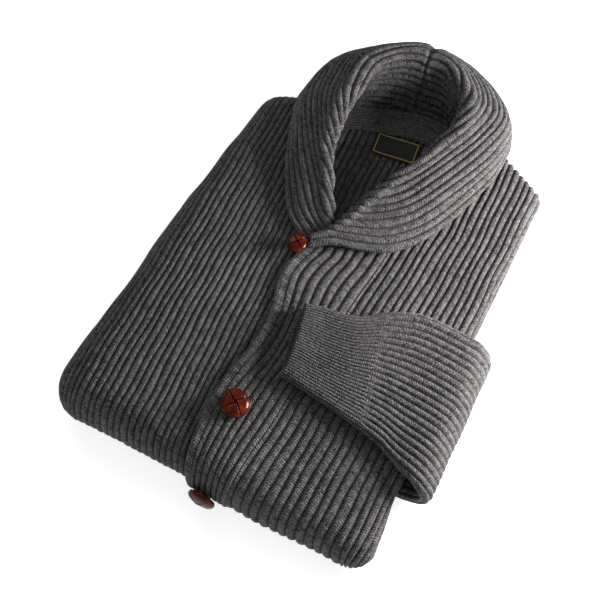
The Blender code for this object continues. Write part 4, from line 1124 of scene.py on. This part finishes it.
def layer_edge(last, foot_x, foot_y, out_x, out_y, low, crease):
    """Rings of the edge, from the last one of the fold down to the table.

    Where the fold ends high enough they bulge as two rounded layers, with ribs;
    elsewhere they run straight down.  The sleeve enters through a slot.
    """
    step = np.arange(LAYER_EDGE_STEPS)[:, None] / (LAYER_EDGE_STEPS - 1)
    knots = len(LAYER_EDGE)
    bulge, rise = spline(LAYER_EDGE, step[:, 0] * (knots - 1)).T[:, :, None]
    part = (1 + step * (knots - 1)) / knots
    layered = np.clip((low - LAYERED_FROM) / LAYERED_OVER, 0, 1)
    slot = (smooth((foot_y - SLOT_Y[0]) / (SLOT_Y[1] - SLOT_Y[0]))
            * smooth((SLOT_Y[3] - foot_y) / (SLOT_Y[3] - SLOT_Y[2]))
            * (foot_x > SLOT_FROM_X))
    side = facing_side(out_x)
    over = rib(foot_x / RIB_PITCH) * (1 - side)
    beside = rib(step * LAYER_SIDE_RIBS) * side
    raised = (LAYER_RIB * (over + beside - 1) * (1 - slot) * layered
              * np.sin(math.pi * np.minimum(1, rise / LAYER_RIB_START) / 2))
    proud = LAYER_PROUD + bulge * (fold_radius(foot_x, foot_y, low) + LAYER_ROUND)
    proud = proud + slot * (-SLOT_DEPTH - proud)
    reach = ((last[:, 0] - foot_x) * out_x + (last[:, 1] - foot_y) * out_y
             - LAYER_TUCK * part)
    reach = reach + layered * (proud + raised - reach)
    stack = np.maximum(low - LEFT_OWN - STACK_CLEAR, 1)
    z = last[:, 2] * (1 - part)
    z = z + layered * (np.maximum(rise, 0) * stack - z)
    return xyz(foot_x + out_x * reach, foot_y + out_y * reach, np.maximum(z, 0))


def dip_at_neck(grid):
    """Lowers a grid of points inside the neck, to leave room for the back."""
    neck = smooth(inside_neck(grid[..., 0], grid[..., 1]) / NECK_EASE + 1)
    past = grid[..., 1] - polyline(BACK_NECK, grid[..., 0]) + BACK_DIP_WIDTH
    floor = FLOOR - BACK_LOW - NECK_DEEPER * smooth(past / BACK_DIP_WIDTH)
    grid[..., 2] += neck * (np.minimum(grid[..., 2], floor) - grid[..., 2])


class CARDIGAN_OT_layers(Operator):
    """Knit the layers folded out of sight, which show at the edges"""

    bl_idname = "cardigan.layers"
    bl_label = "Folded layers"

    def execute(self, context):
        """One closed solid of rings, flat underneath, with ribs along its sides."""
        outline = bend_outline()
        foot_x, foot_y, out_x = outline[:3]
        rings = layer_rings(*outline)
        grid = np.concatenate([rings, layer_edge(rings[-1], *outline)])
        dip_at_neck(grid)
        grid[-1, :, 2] = 0
        rows, count = grid.shape[:2]
        points = np.concatenate([
            [[*LAYER_MIDDLE, cloth_height(*LAYER_MIDDLE) - LAYER_GAP]],
            grid.transpose(1, 0, 2).reshape(-1, 3)])
        k = np.arange(count)
        faces = [*grid_faces(count, rows, 1, closed=True).tolist(),
                 *xyz(0, 1 + (k + 1) % count * rows, 1 + k * rows).tolist(),
                 (k * rows + rows).tolist()]
        side, row = facing_side(out_x)[:, None], np.arange(rows)
        length = walked(grid[len(LAYER_RING_SHARES)])[:, None]
        u = (side * row * LAYER_SIDE_RIBS / (LAYER_EDGE_STEPS - 1)
             + (1 - side) * foot_x[:, None] / RIB_PITCH)
        v = (side * length / STITCH
             + (1 - side) * (row * LAYER_STITCHES + foot_y[:, None] / STITCH))
        layers = piece("folded_layers", points, faces, knit_material(),
                       np.concatenate([[[0, 0]], xyz(u, v).reshape(-1, 2)]))
        dress(layers, "charcoal_knit", "hidden_layers")
        return {"FINISHED"}


# --- Shawl collar ---
COLLAR_EDGE = 3.0               # radius of its rounded edges
COLLAR_CREST_SPREAD = 8         # stations either way over which the crest is evened
STAND_GROOVE_WIDTH = 8          # past the crest, over which the grooves deepen
COLLAR_KEEP = 4                 # columns of the ribbed side for each of the inner
COLLAR_FINE = 4                 # points of its spline for each even one


def collar_section(edge, top, seam, roll, full):
    """Curve from the outer edge over the roll to the seam, as even points.

    A spline through the edge, the fall's belly, the two sides of the roll with its
    crest between them, the stand's middle and the seam.
    """
    away = ROLL_OUT * unit((edge - top) * (1, 1, 0))
    fall_top, inner_top = [top + side * roll * away - (0, 0, ROLL_DOWN * roll)
                           for side in (1, -1)]
    slope = unit(edge - fall_top)
    outward = unit(np.array([0, 0, 1]) - slope[2] * slope)
    belly = (edge + fall_top) / 2 + full * outward
    knots = [edge, belly, fall_top, top, inner_top, (inner_top + seam) / 2, seam]
    fine = spline(knots, np.linspace(0, len(knots) - 1, COLLAR_FINE * COLLAR_COLUMNS))
    length = walked(fine)
    even = np.linspace(0, length[-1], COLLAR_COLUMNS)
    return np.stack([np.interp(even, length, column) for column in fine.T], axis=1)


def collar_piece(name, table, pitches, side):
    """Half of the shawl collar, from its front end to the centre back seam.

    Its ribs keep their distance from the outer edge, so that the seam cuts them
    off one by one as the collar narrows towards the front.
    """
    numbers = np.array([(*edge, *top, *seam, roll, full, wall)
                        for edge, top, seam, roll, full, wall in table], float)
    stations = spline(numbers, np.linspace(0, len(table) - 1, COLLAR_STATIONS))
    middle = np.stack([collar_section(s[:3], s[3:6], s[6:9], s[9], s[10])
                       for s in stations], axis=1)
    normal = side * unit(np.cross(np.gradient(middle, axis=0),
                                  np.gradient(middle, axis=1)))
    width = np.linalg.norm(np.diff(middle, axis=0), axis=-1).sum(0)
    off_edge = np.linspace(0, 1, COLLAR_COLUMNS)[:, None] * width
    walk = np.linalg.norm(np.diff(middle, axis=1), axis=-1).mean(0)
    length = np.concatenate([[0], np.cumsum(walk)])
    crest = np.take_along_axis(off_edge, middle[..., 2].argmax(axis=0)[None], axis=0)
    window = 2 * COLLAR_CREST_SPREAD + 1
    crest = np.convolve(np.pad(crest[0], COLLAR_CREST_SPREAD, mode="edge"),
                        np.ones(window) / window, "valid")
    past = np.maximum(0, off_edge - crest)
    pitch = along(pitches, length[-1] - length)
    phase = (off_edge - past + past / STAND_WIDER) / pitch + 0.5
    along_rib = length + 0 * phase
    drift = wander(phase, along_rib, phase.max()) / pitch
    wall = stations[:, 11]
    groove = COLLAR_GROOVE + STAND_GROOVE * smooth(past / STAND_GROOVE_WIDTH)
    ridge = groove - slack(phase, along_rib)
    high = wall / 2 - groove + ridge * rib(phase + drift)
    low, high = rounded(-wall / 2, high, np.minimum(off_edge, along_rib), COLLAR_EDGE)
    notch = 1 - smooth((length[-1] - along_rib) / SEAM_NOTCH_WIDTH)
    outer = middle + normal * (high - SEAM_NOTCH * notch)[..., None]
    inner = middle + normal * (low + SEAM_NOTCH_INSIDE * notch)[..., None]
    for grid in (outer, inner):
        grid[:, -1, 0] = CENTRE_BACK
    made = knit_wall(name, outer, inner, xyz(phase + drift, along_rib / STITCH),
                     knit_material(),
                     kept_columns(COLLAR_COLUMNS, COLLAR_KEEP, COLLAR_KEEP))
    return made, float(width.max()), float(length[-1])


class CARDIGAN_OT_collar(Operator):
    """Knit the two halves of the shawl collar"""

    bl_idname = "cardigan.collar"
    bl_label = "Shawl collar"

    def execute(self, context):
        """Each half follows its own table of sections round the neck."""
        for name, node, table, pitches, side in (
                ("knit_right_collar", "right_collar", COLLAR_RIGHT_FRONT,
                 COLLAR_RIGHT_PITCH, 1),
                ("knit_left_collar", "left_collar", COLLAR_LEFT_FRONT,
                 COLLAR_LEFT_PITCH, -1)):
            made, width, length = collar_piece(name, table, pitches, side)
            dress(made, "charcoal_knit", node)
        return {"FINISHED"}


# --- Sleeve and cuff ---
SLEEVE_STATIONS, SLEEVE_SAMPLES = 110, 9    # rows of the mesh, its columns a rib
CUFF_STATIONS, CUFF_SAMPLES = 72, 6
TUBE_KEEP = 3                   # columns of the ribbed side for each of the inner
TUBE_START = 1 / 8              # of a rib, where its first column stands
REST_PLACES = 9                 # across the tube, at which it clears the cloth
SLACK_TURNS = 5                 # turns of the slack's wave round a tube
BELL_POWER = 2.5                # squareness of the bell across the mouth


def stadium(share, half_width, half_thick):
    """Point and normal of a flattened tube's section: two straights, two half rounds.

    share runs from the far end of the top, over the near edge, and back below.
    """
    straight = 2 * (half_width - half_thick)
    bend = math.pi * half_thick
    at = share % 1 * 2 * (straight + bend)
    zero = 0 * at
    near = (at - straight) / half_thick
    far = (at - 2 * straight - bend) / half_thick
    zones = [at < straight, at < straight + bend, at < 2 * straight + bend]
    nu = np.select(zones, [zero, np.sin(near), zero], -np.sin(far))
    nv = np.select(zones, [zero + 1, np.cos(near), zero - 1], -np.cos(far))
    centre = np.select(zones, [at - straight / 2, straight / 2 + zero,
                               3 * straight / 2 + bend - at], -straight / 2 + zero)
    return centre + half_thick * nu, half_thick * nv, nu, nv


def resting_section(far, near, half, turn):
    """Section that lies on the left front between two plan points."""
    across = np.linspace(0, 1, REST_PLACES)
    x, y = [start + across * (end - start) for start, end in zip(far, near)]
    top = cloth_height(x, y) + LIFT + BAND_WALL
    lift = np.max(top - (top[0] + across * (top[-1] - top[0]))) + half + SLEEVE_CLEAR
    return (*far, top[0] + lift, *near, top[-1] + lift, math.radians(turn), half)


def tube_piece(name, sections, stations, ribs, wall, groove, samples, stitch, fine):
    """Flattened ribbed tube through sections, its width and its length.

    fine: (ribs, groove) that it takes over at its first station, and that turn
    into its own over JOIN_LENGTH; None for a tube whose first station is an open
    mouth, where the upper layer draws back and rises by a bell across the tube.
    """
    table = spline(sections, np.linspace(0, len(sections) - 1, stations))
    far, near, turn, half = table[:, :3], table[:, 3:6], table[:, 6], table[:, 7]
    up = xyz(np.sin(turn), 0, np.cos(turn))
    middle = (far + near) / 2
    across = unit(near - far)
    half_width = np.linalg.norm(near - far, axis=-1) / 2
    length = walked(middle)
    count = ribs * samples
    share = (np.arange(count) / count + TUBE_START / ribs)[:, None]
    u, v, nu, nv = stadium(share, half_width, half)
    phases = (np.arange(count) / samples)[:, None] + 0 * u
    deepest = groove + slack(phases * math.tau * SLACK_TURNS / ribs, length)
    sunk = deepest * (1 - rib(phases) ** (1 if fine else CUFF_CROWN))
    bell = np.maximum(0, 1 - np.abs(u / half_width) ** BELL_POWER)
    bell = bell * smooth(1 - length / MOUTH_LENGTH)
    free = length
    if fine:
        taken = fine[1] * (1 - rib(phases * fine[0] / ribs) ** CUFF_CROWN)
        sunk = taken + smooth(length / JOIN_LENGTH) * (sunk - taken)
        bell, free = 0 * bell, length[-1] - length
    upper = smooth(0.5 + v / half)
    slide = bell * (MOUTH_BACK * upper - MOUTH_OUT * (1 - upper))
    lip = MOUTH_LIP * (1 - upper) * smooth(1 - length / MOUTH_LIP_LENGTH)
    v = v + bell * (MOUTH_CROWN * upper + lip)
    heading = unit(np.gradient(middle, axis=0))
    outer, inner = [
        middle + (u - nu * depth)[..., None] * across
        + (v - nv * depth)[..., None] * up + slide[..., None] * heading
        for depth in rounded(sunk, wall + 0 * sunk, free, wall / 2)]
    made = knit_wall(name, outer, inner, xyz(phases, length / stitch),
                     knit_material(), np.arange(0, count, TUBE_KEEP), closed=True)
    return made, float(half_width.mean() * 2), float(length[-1])


class CARDIGAN_OT_sleeve(Operator):
    """Knit the left sleeve and its cuff, folded over the fronts"""

    bl_idname = "cardigan.sleeve"
    bl_label = "Sleeve and cuff"

    def execute(self, context):
        """The sleeve comes from under the body, round its right side."""
        sections = [resting_section(*row) for row in SLEEVE_ROWS]
        axis_x, axis_z, radius = SLEEVE_BEND
        for turn, (far_y, near_y) in zip(SLEEVE_TURNS, SLEEVE_ENDS_Y):
            angle = math.radians(turn)
            x = axis_x + radius * math.sin(angle)
            z = axis_z + radius * math.cos(angle)
            sections.append((x, far_y, z, x, near_y, z, angle, SLEEVE_HALF))
        x = sections[-1][0] - SLEEVE_TUCK
        sections.append((x, far_y, z, x, near_y, z, angle, SLEEVE_HALF))
        sleeve, width, length = tube_piece(
            "knit_sleeve", sections, SLEEVE_STATIONS, SLEEVE_RIBS, SLEEVE_WALL,
            SLEEVE_GROOVE, SLEEVE_SAMPLES, STITCH, (CUFF_RIBS, CUFF_GROOVE))
        dress(sleeve, "charcoal_knit", "left_sleeve")
        sections = [resting_section(*row) for row in CUFF_ROWS]
        cuff, width, length = tube_piece(
            "knit_cuff", sections, CUFF_STATIONS, CUFF_RIBS, CUFF_WALL, CUFF_GROOVE,
            CUFF_SAMPLES, CUFF_STITCH, None)
        dress(cuff, "charcoal_knit", "left_cuff")
        return {"FINISHED"}


# --- Tape and label ---
TRIM_SEAT = FLOOR + WALL + SEAM_GAP     # level of the back's ridges and a seam's gap
TAPE_GRID, LABEL_GRID = (90, 56), (60, 34)  # points of the mesh along and across
TAPE_SHEET, LABEL_SHEET = 0.8, 0.6      # thickness of the closed sheet
TAPE_FINE = 0.6                         # height of the tape's ribs
TAPE_SINK = (0.7, 1.5)                  # of its edges: mm, over what width
LABEL_LOOSE = 0.25                      # the label lies this far off at its middle
LABEL_PULL = (0.25, 3.1, 3)             # stitches pull it in: mm, their distance, width
LABEL_SINK = (0.45, 1.0)                # of its edges: mm, over what width
LABEL_WAVE = (0.25, 6.0)                # slow wave: mm, length over a turn


def slab_piece(name, top, thick, look, uv):
    """Thin closed sheet under a grid of points (columns, rows, 3)."""
    return knit_wall(name, top, top - (0, 0, thick), uv, look, np.arange(len(top)))


class CARDIGAN_OT_trims(Operator):
    """Make the neck tape and the woven label"""

    bl_idname = "cardigan.trims"
    bl_label = "Tape and label"

    def execute(self, context):
        """The tape follows the back neck; the label is sewn on below it."""
        x = np.linspace(TAPE_FROM, TAPE_TO, TAPE_GRID[0])[:, None]
        down = np.linspace(0, TAPE_DEPTH, TAPE_GRID[1])
        y = polyline(BACK_NECK, x) - TAPE_TOP - TAPE_DEPTH + down
        ends = np.minimum(np.minimum(x - TAPE_FROM, TAPE_TO - x),
                          np.minimum(down, TAPE_DEPTH - down))
        z = (TRIM_SEAT + TAPE_WALL - TAPE_FINE * (1 - rib(down / TAPE_RIB))
             - TAPE_SINK[0] * (1 - smooth(ends / TAPE_SINK[1])))
        look = knit_material("dark_tape", context.scene.cardigan_trims.tape)
        tape = slab_piece("neck_tape_knit", xyz(x, y, z), TAPE_SHEET, look,
                          xyz(down / TAPE_RIB, x / STITCH))
        dress(tape, "dark_tape", "neck_tape")

        length, depth, thick = LABEL_SIZE
        u = np.linspace(-length / 2, length / 2, LABEL_GRID[0])[:, None]
        v = np.linspace(-depth / 2, depth / 2, LABEL_GRID[1])
        c, s = math.cos(LABEL_TURN), math.sin(LABEL_TURN)
        off_x, off_y = length / 2 - np.abs(u), depth / 2 - np.abs(v)
        pull, apart, wide = LABEL_PULL
        pulled = pull * (1 + np.cos(u * math.tau / apart)) * (1 - smooth(off_y / wide))
        sunk = LABEL_SINK[0] * (1 - smooth(np.minimum(off_x, off_y) / LABEL_SINK[1]))
        z = (TRIM_SEAT + thick + LABEL_LOOSE - pulled - sunk
             + LABEL_WAVE[0] * np.sin(u / LABEL_WAVE[1]))
        top = xyz(LABEL_AT[0] + u * c - v * s, LABEL_AT[1] + u * s + v * c, z)
        label = slab_piece("woven_label", top, LABEL_SHEET,
                           finish("label_finish", lay_label), xyz(u, v))
        dress(label, "woven_label", "label")
        return {"FINISHED"}


# --- Buttons ---
BUTTON_SPOKES = 144
BUTTON_SHARES = np.concatenate([np.linspace(0.02, 0.9, 40),
                                np.linspace(0.92, 1, 10)])[:, None]
DOME_RIM, DOME_POWER = 0.35, 2.6    # height left at the rim, squareness of the dome
PINWHEEL = math.radians(46)         # turn of the first groove
# as shares of the diameter
GROOVE_SHIFT = 0.035                # how far each groove misses the middle
GROOVE_SPREAD = 0.018
GROOVE_START = (-0.04, 0.05)        # where a groove begins, and over what length
STRAND_RISE = 0.025                 # of a strand beside its groove
STRAND_FALL, STRAND_EDGE = 7, 2.2   # in spreads: how it falls off, where its painted highlight lies
HOLE_RADIUS, HOLE_DEPTH = 0.045, 1.2    # the depth in mm
HOLE_POWER, RIM_POWER = 4, 6            # squareness of the hole, fade at the rim
CROWN_LOSS, CROWN_FLAT = 1.3, 0.55      # reach of the painted shade in a crease, tone away from the painted highlight
UNDER_CROWN = 0.3                       # tone of the underside and the shank
UNDERSIDE = ((0.97, 0.8), (0.86, 0.2), (0.6, 0))    # share of the radius, mm up
SHANK = ((1, 1, -0.1), (0.8, 0.5, 0), (1, 0, 0))    # shares of radius and height, mm up
MIDDLE_DROP = 0.1                       # of the point at the middle
BASE_STEP = 0.5                         # either way, to find the slope of the cloth


def button_points(diameter, dome, shank, depth):
    """Profile rings of a button and its painted shade and highlight, one value a point.

    The dome is a flattened half ellipse.  Four grooves run out from a square hole,
    each beside the middle; every strand rises from one groove to the next, so that
    it overlaps its neighbour.
    """
    angle = np.arange(BUTTON_SPOKES) * math.tau / BUTTON_SPOKES
    reach = diameter / 2 * BUTTON_SHARES + 0 * angle
    crown_height = np.sqrt(np.maximum(0, 1 - BUTTON_SHARES ** DOME_POWER))
    height = shank + dome * (DOME_RIM + (1 - DOME_RIM) * crown_height) + 0 * angle
    groove, lift, edge = np.zeros((3, *height.shape))
    for arm in range(4):
        turned = angle - PINWHEEL - arm * math.tau / 4
        start = reach * np.cos(turned) - GROOVE_START[0] * diameter
        on_arm = smooth(start / (GROOVE_START[1] * diameter))
        off = ((reach * np.sin(turned) - GROOVE_SHIFT * diameter)
               / (GROOVE_SPREAD * diameter))
        groove = np.maximum(groove, on_arm * np.exp(-off ** 2))
        edge = np.maximum(edge, on_arm * np.exp(-(off - STRAND_EDGE) ** 2))
        lift += on_arm * np.exp(-np.maximum(off, 0) / STRAND_FALL) * (off > 0)
    hole = np.exp(-(reach / (HOLE_RADIUS * diameter)) ** HOLE_POWER)
    rim = 1 - BUTTON_SHARES ** RIM_POWER
    height = height - depth * groove + rim * (
        STRAND_RISE * diameter * lift - HOLE_DEPTH * hole)
    # painted shade in the grooves and the hole, painted highlight along each strand's
    # edge
    painted_shade_and_highlight = np.clip(1 - CROWN_LOSS * np.maximum(groove, hole), 0, 1)
    return angle, reach, height, painted_shade_and_highlight * (CROWN_FLAT + (1 - CROWN_FLAT) * edge)


class CARDIGAN_OT_buttons(Operator):
    """Make the three woven leather buttons"""

    bl_idname = "cardigan.buttons"
    bl_label = "Buttons"

    def execute(self, context):
        """Each button stands on its shank, square to the cloth under it."""
        depth = context.scene.cardigan_buttons.groove / MM
        for number, (diameter, dome, shank, seat, x, y) in enumerate(BUTTONS, 1):
            angle, reach, height, painted_shade_and_highlight = button_points(diameter, dome, shank, depth)
            base = drape(x, y, seat + SEAM_GAP, LEFT_OWN)
            east, north = [drape(x + dx, y + dy, LIFT, LEFT_OWN)
                           - drape(x - dx, y - dy, LIFT, LEFT_OWN)
                           for dx, dy in ((BASE_STEP, 0), (0, BASE_STEP))]
            east = unit(east)
            up = unit(np.cross(east, north))
            north = np.cross(up, east)
            under = np.array(
                [(share * diameter / 2, shank + up_by) for share, up_by in UNDERSIDE]
                + [(share * SHANK_RADIUS, part * shank + up_by)
                   for share, part, up_by in SHANK])
            blank = np.zeros((len(under), BUTTON_SPOKES))
            reach = np.concatenate([reach, under[:, :1] + blank])
            height = np.concatenate([height, under[:, 1:] + blank])
            painted_shade_and_highlight = np.concatenate([painted_shade_and_highlight, UNDER_CROWN + blank])
            points = (base + (reach * np.cos(angle))[..., None] * east
                      + (reach * np.sin(angle))[..., None] * north
                      + height[..., None] * up)
            rows = len(points)
            count = rows * BUTTON_SPOKES
            top = base + up * (height[0].mean() - MIDDLE_DROP)
            points = np.concatenate([points.transpose(1, 0, 2).reshape(-1, 3),
                                     [top, base]])
            k = np.arange(BUTTON_SPOKES) * rows
            nxt = np.roll(k, -1)
            faces = [*grid_faces(BUTTON_SPOKES, rows, 0, closed=True).tolist(),
                     *xyz(nxt, k, count).tolist(),
                     *xyz(k + rows - 1, nxt + rows - 1, count + 1).tolist()]
            obj = piece(f"leather_button_{number}", points, faces,
                        finish("leather_finish", lay_leather))
            # stores the painted shade and highlight of every point
            mark = obj.data.attributes.new("painted_shade_and_highlight", "FLOAT", "POINT")
            values = np.append(painted_shade_and_highlight.T, [0, 0]).astype(np.float32)
            mark.data.foreach_set("value", values)
            dress(obj, "leather", f"button_{number}")
        return {"FINISHED"}


# --- Stage ---
CAMERA_AZIMUTH = math.radians(24.5)
CAMERA_ELEVATION = math.radians(64)
CAMERA_DISTANCE = 1.524
CAMERA_TARGET = (0, 0, 0.04)
CAMERA_LENS, CAMERA_SENSOR, CAMERA_REACH = 96, 36, 20
FLOOR_HALF, FLOOR_ROUGHNESS = 40.0, 0.9
FLOOR_TONES = (0.2, 0.8, 0.985, 1.0)    # the noise's range, and the tones it gives
LIGHT_TARGET = (0, 0, 0.05)
# soft boxes, in metres: name, place from the view, side, share of the power, colour
SOFT_BOXES = (
    ("key", (0.54, -0.02, 0.23), 0.25, 1, (1, 0.965, 0.95)),
    ("soft_box", (-0.5, 0.9, 1.2), 0.6, 0.28, (1, 1, 1)),
)


def from_view(right, forward, up):
    """Point given to the right of the view, away from the viewer, and above."""
    c, s = math.cos(CAMERA_AZIMUTH), math.sin(CAMERA_AZIMUTH)
    return Vector((right * c - forward * s, right * s + forward * c, up))


def lay_floor(g):
    """Matt paint with a faint cloud, lit from below."""
    look = bpy.context.scene.cardigan_stage
    tone = g.ease(g.noise(g.place(), *CLOUD), *FLOOR_TONES)
    return {"Base Color": g.shaded(tuple(look.floor), tone),
            "Roughness": FLOOR_ROUGHNESS, "Emission Color": (1, 1, 1, 1),
            "Emission Strength": look.glow}


class CARDIGAN_OT_stage(Operator):
    """Set up the floor, the lights and the camera"""

    bl_idname = "cardigan.stage"
    bl_label = "Stage"

    def execute(self, context):
        """Pale floor, a soft box on the right, one behind, and an even room."""
        scene = context.scene
        look = scene.cardigan_stage
        mesh = bpy.data.meshes.new("floor")
        corners = [(x * FLOOR_HALF, y * FLOOR_HALF, 0)
                   for x, y in ((-1, -1), (1, -1), (1, 1), (-1, 1))]
        mesh.from_pydata(corners, [], [(0, 1, 2, 3)])
        mesh.materials.append(new_material("floor_paint", lay_floor))
        floor = placed("floor", mesh)
        for name, spot, side, share, colour in SOFT_BOXES:
            lamp = bpy.data.lights.new(name, "AREA")
            lamp.shape, lamp.size, lamp.color = "SQUARE", side, colour
            lamp.energy = look.key * share
            spot = from_view(*spot)
            placed(name, lamp, spot, Vector(LIGHT_TARGET) - spot)
        scene.world = world = scene.world or bpy.data.worlds.new("room")
        world.use_nodes = True
        Graph(world.node_tree).fill(world.node_tree.nodes["Background"], {
            "Color": (1, 1, 1, 1), "Strength": look.fill})
        lens = bpy.data.cameras.new("camera")
        lens.lens, lens.sensor_width = CAMERA_LENS, CAMERA_SENSOR
        lens.clip_end = CAMERA_REACH
        away = from_view(0, -math.cos(CAMERA_ELEVATION), math.sin(CAMERA_ELEVATION))
        scene.camera = placed("camera", lens,
                              Vector(CAMERA_TARGET) + away * CAMERA_DISTANCE, -away)
        scene.view_settings.view_transform = "Standard"
        return {"FINISHED"}


class CARDIGAN_PT_pieces(Panel):
    """Sidebar list of the garment's pieces and finishes"""

    bl_label = "Cardigan"
    bl_idname = "CARDIGAN_PT_pieces"
    bl_space_type = "VIEW_3D"
    bl_region_type = "UI"
    bl_category = "Cardigan"

    def draw(self, context):
        """One button for each operator, then the settings."""
        column = self.layout.column(align=True)
        for operator in OPERATORS:
            column.operator(operator.bl_idname)
        for title, name, _ in SETTINGS:
            settings = getattr(context.scene, name)
            box = self.layout.box()
            box.label(text=title)
            for prop in settings.__annotations__:
                box.prop(settings, prop)


OPERATORS = (
    CARDIGAN_OT_stage, CARDIGAN_OT_layers, CARDIGAN_OT_back, CARDIGAN_OT_fronts,
    CARDIGAN_OT_band, CARDIGAN_OT_collar, CARDIGAN_OT_sleeve, CARDIGAN_OT_trims,
    CARDIGAN_OT_buttons,
)
SETTINGS = (
    ("Knit", "cardigan_knit", KnitSettings),
    ("Buttons", "cardigan_buttons", ButtonSettings),
    ("Tape and label", "cardigan_trims", TrimSettings),
    ("Stage", "cardigan_stage", StageSettings),
)


def register():
    """Registers the settings, the operators and the panel."""
    for _, name, group in SETTINGS:
        bpy.utils.register_class(group)
        setattr(bpy.types.Scene, name, PointerProperty(type=group))
    for operator in OPERATORS:
        bpy.utils.register_class(operator)
    bpy.utils.register_class(CARDIGAN_PT_pieces)


def unregister():
    """Takes back what register added."""
    bpy.utils.unregister_class(CARDIGAN_PT_pieces)
    for operator in reversed(OPERATORS):
        bpy.utils.unregister_class(operator)
    for _, name, group in reversed(SETTINGS):
        delattr(bpy.types.Scene, name)
        bpy.utils.unregister_class(group)


def main():
    """Builds the garment and its stage."""
    register()
    for operator in OPERATORS:
        space, name = operator.bl_idname.split(".")
        getattr(getattr(bpy.ops, space), name)()


if __name__ == "__main__":
    main()
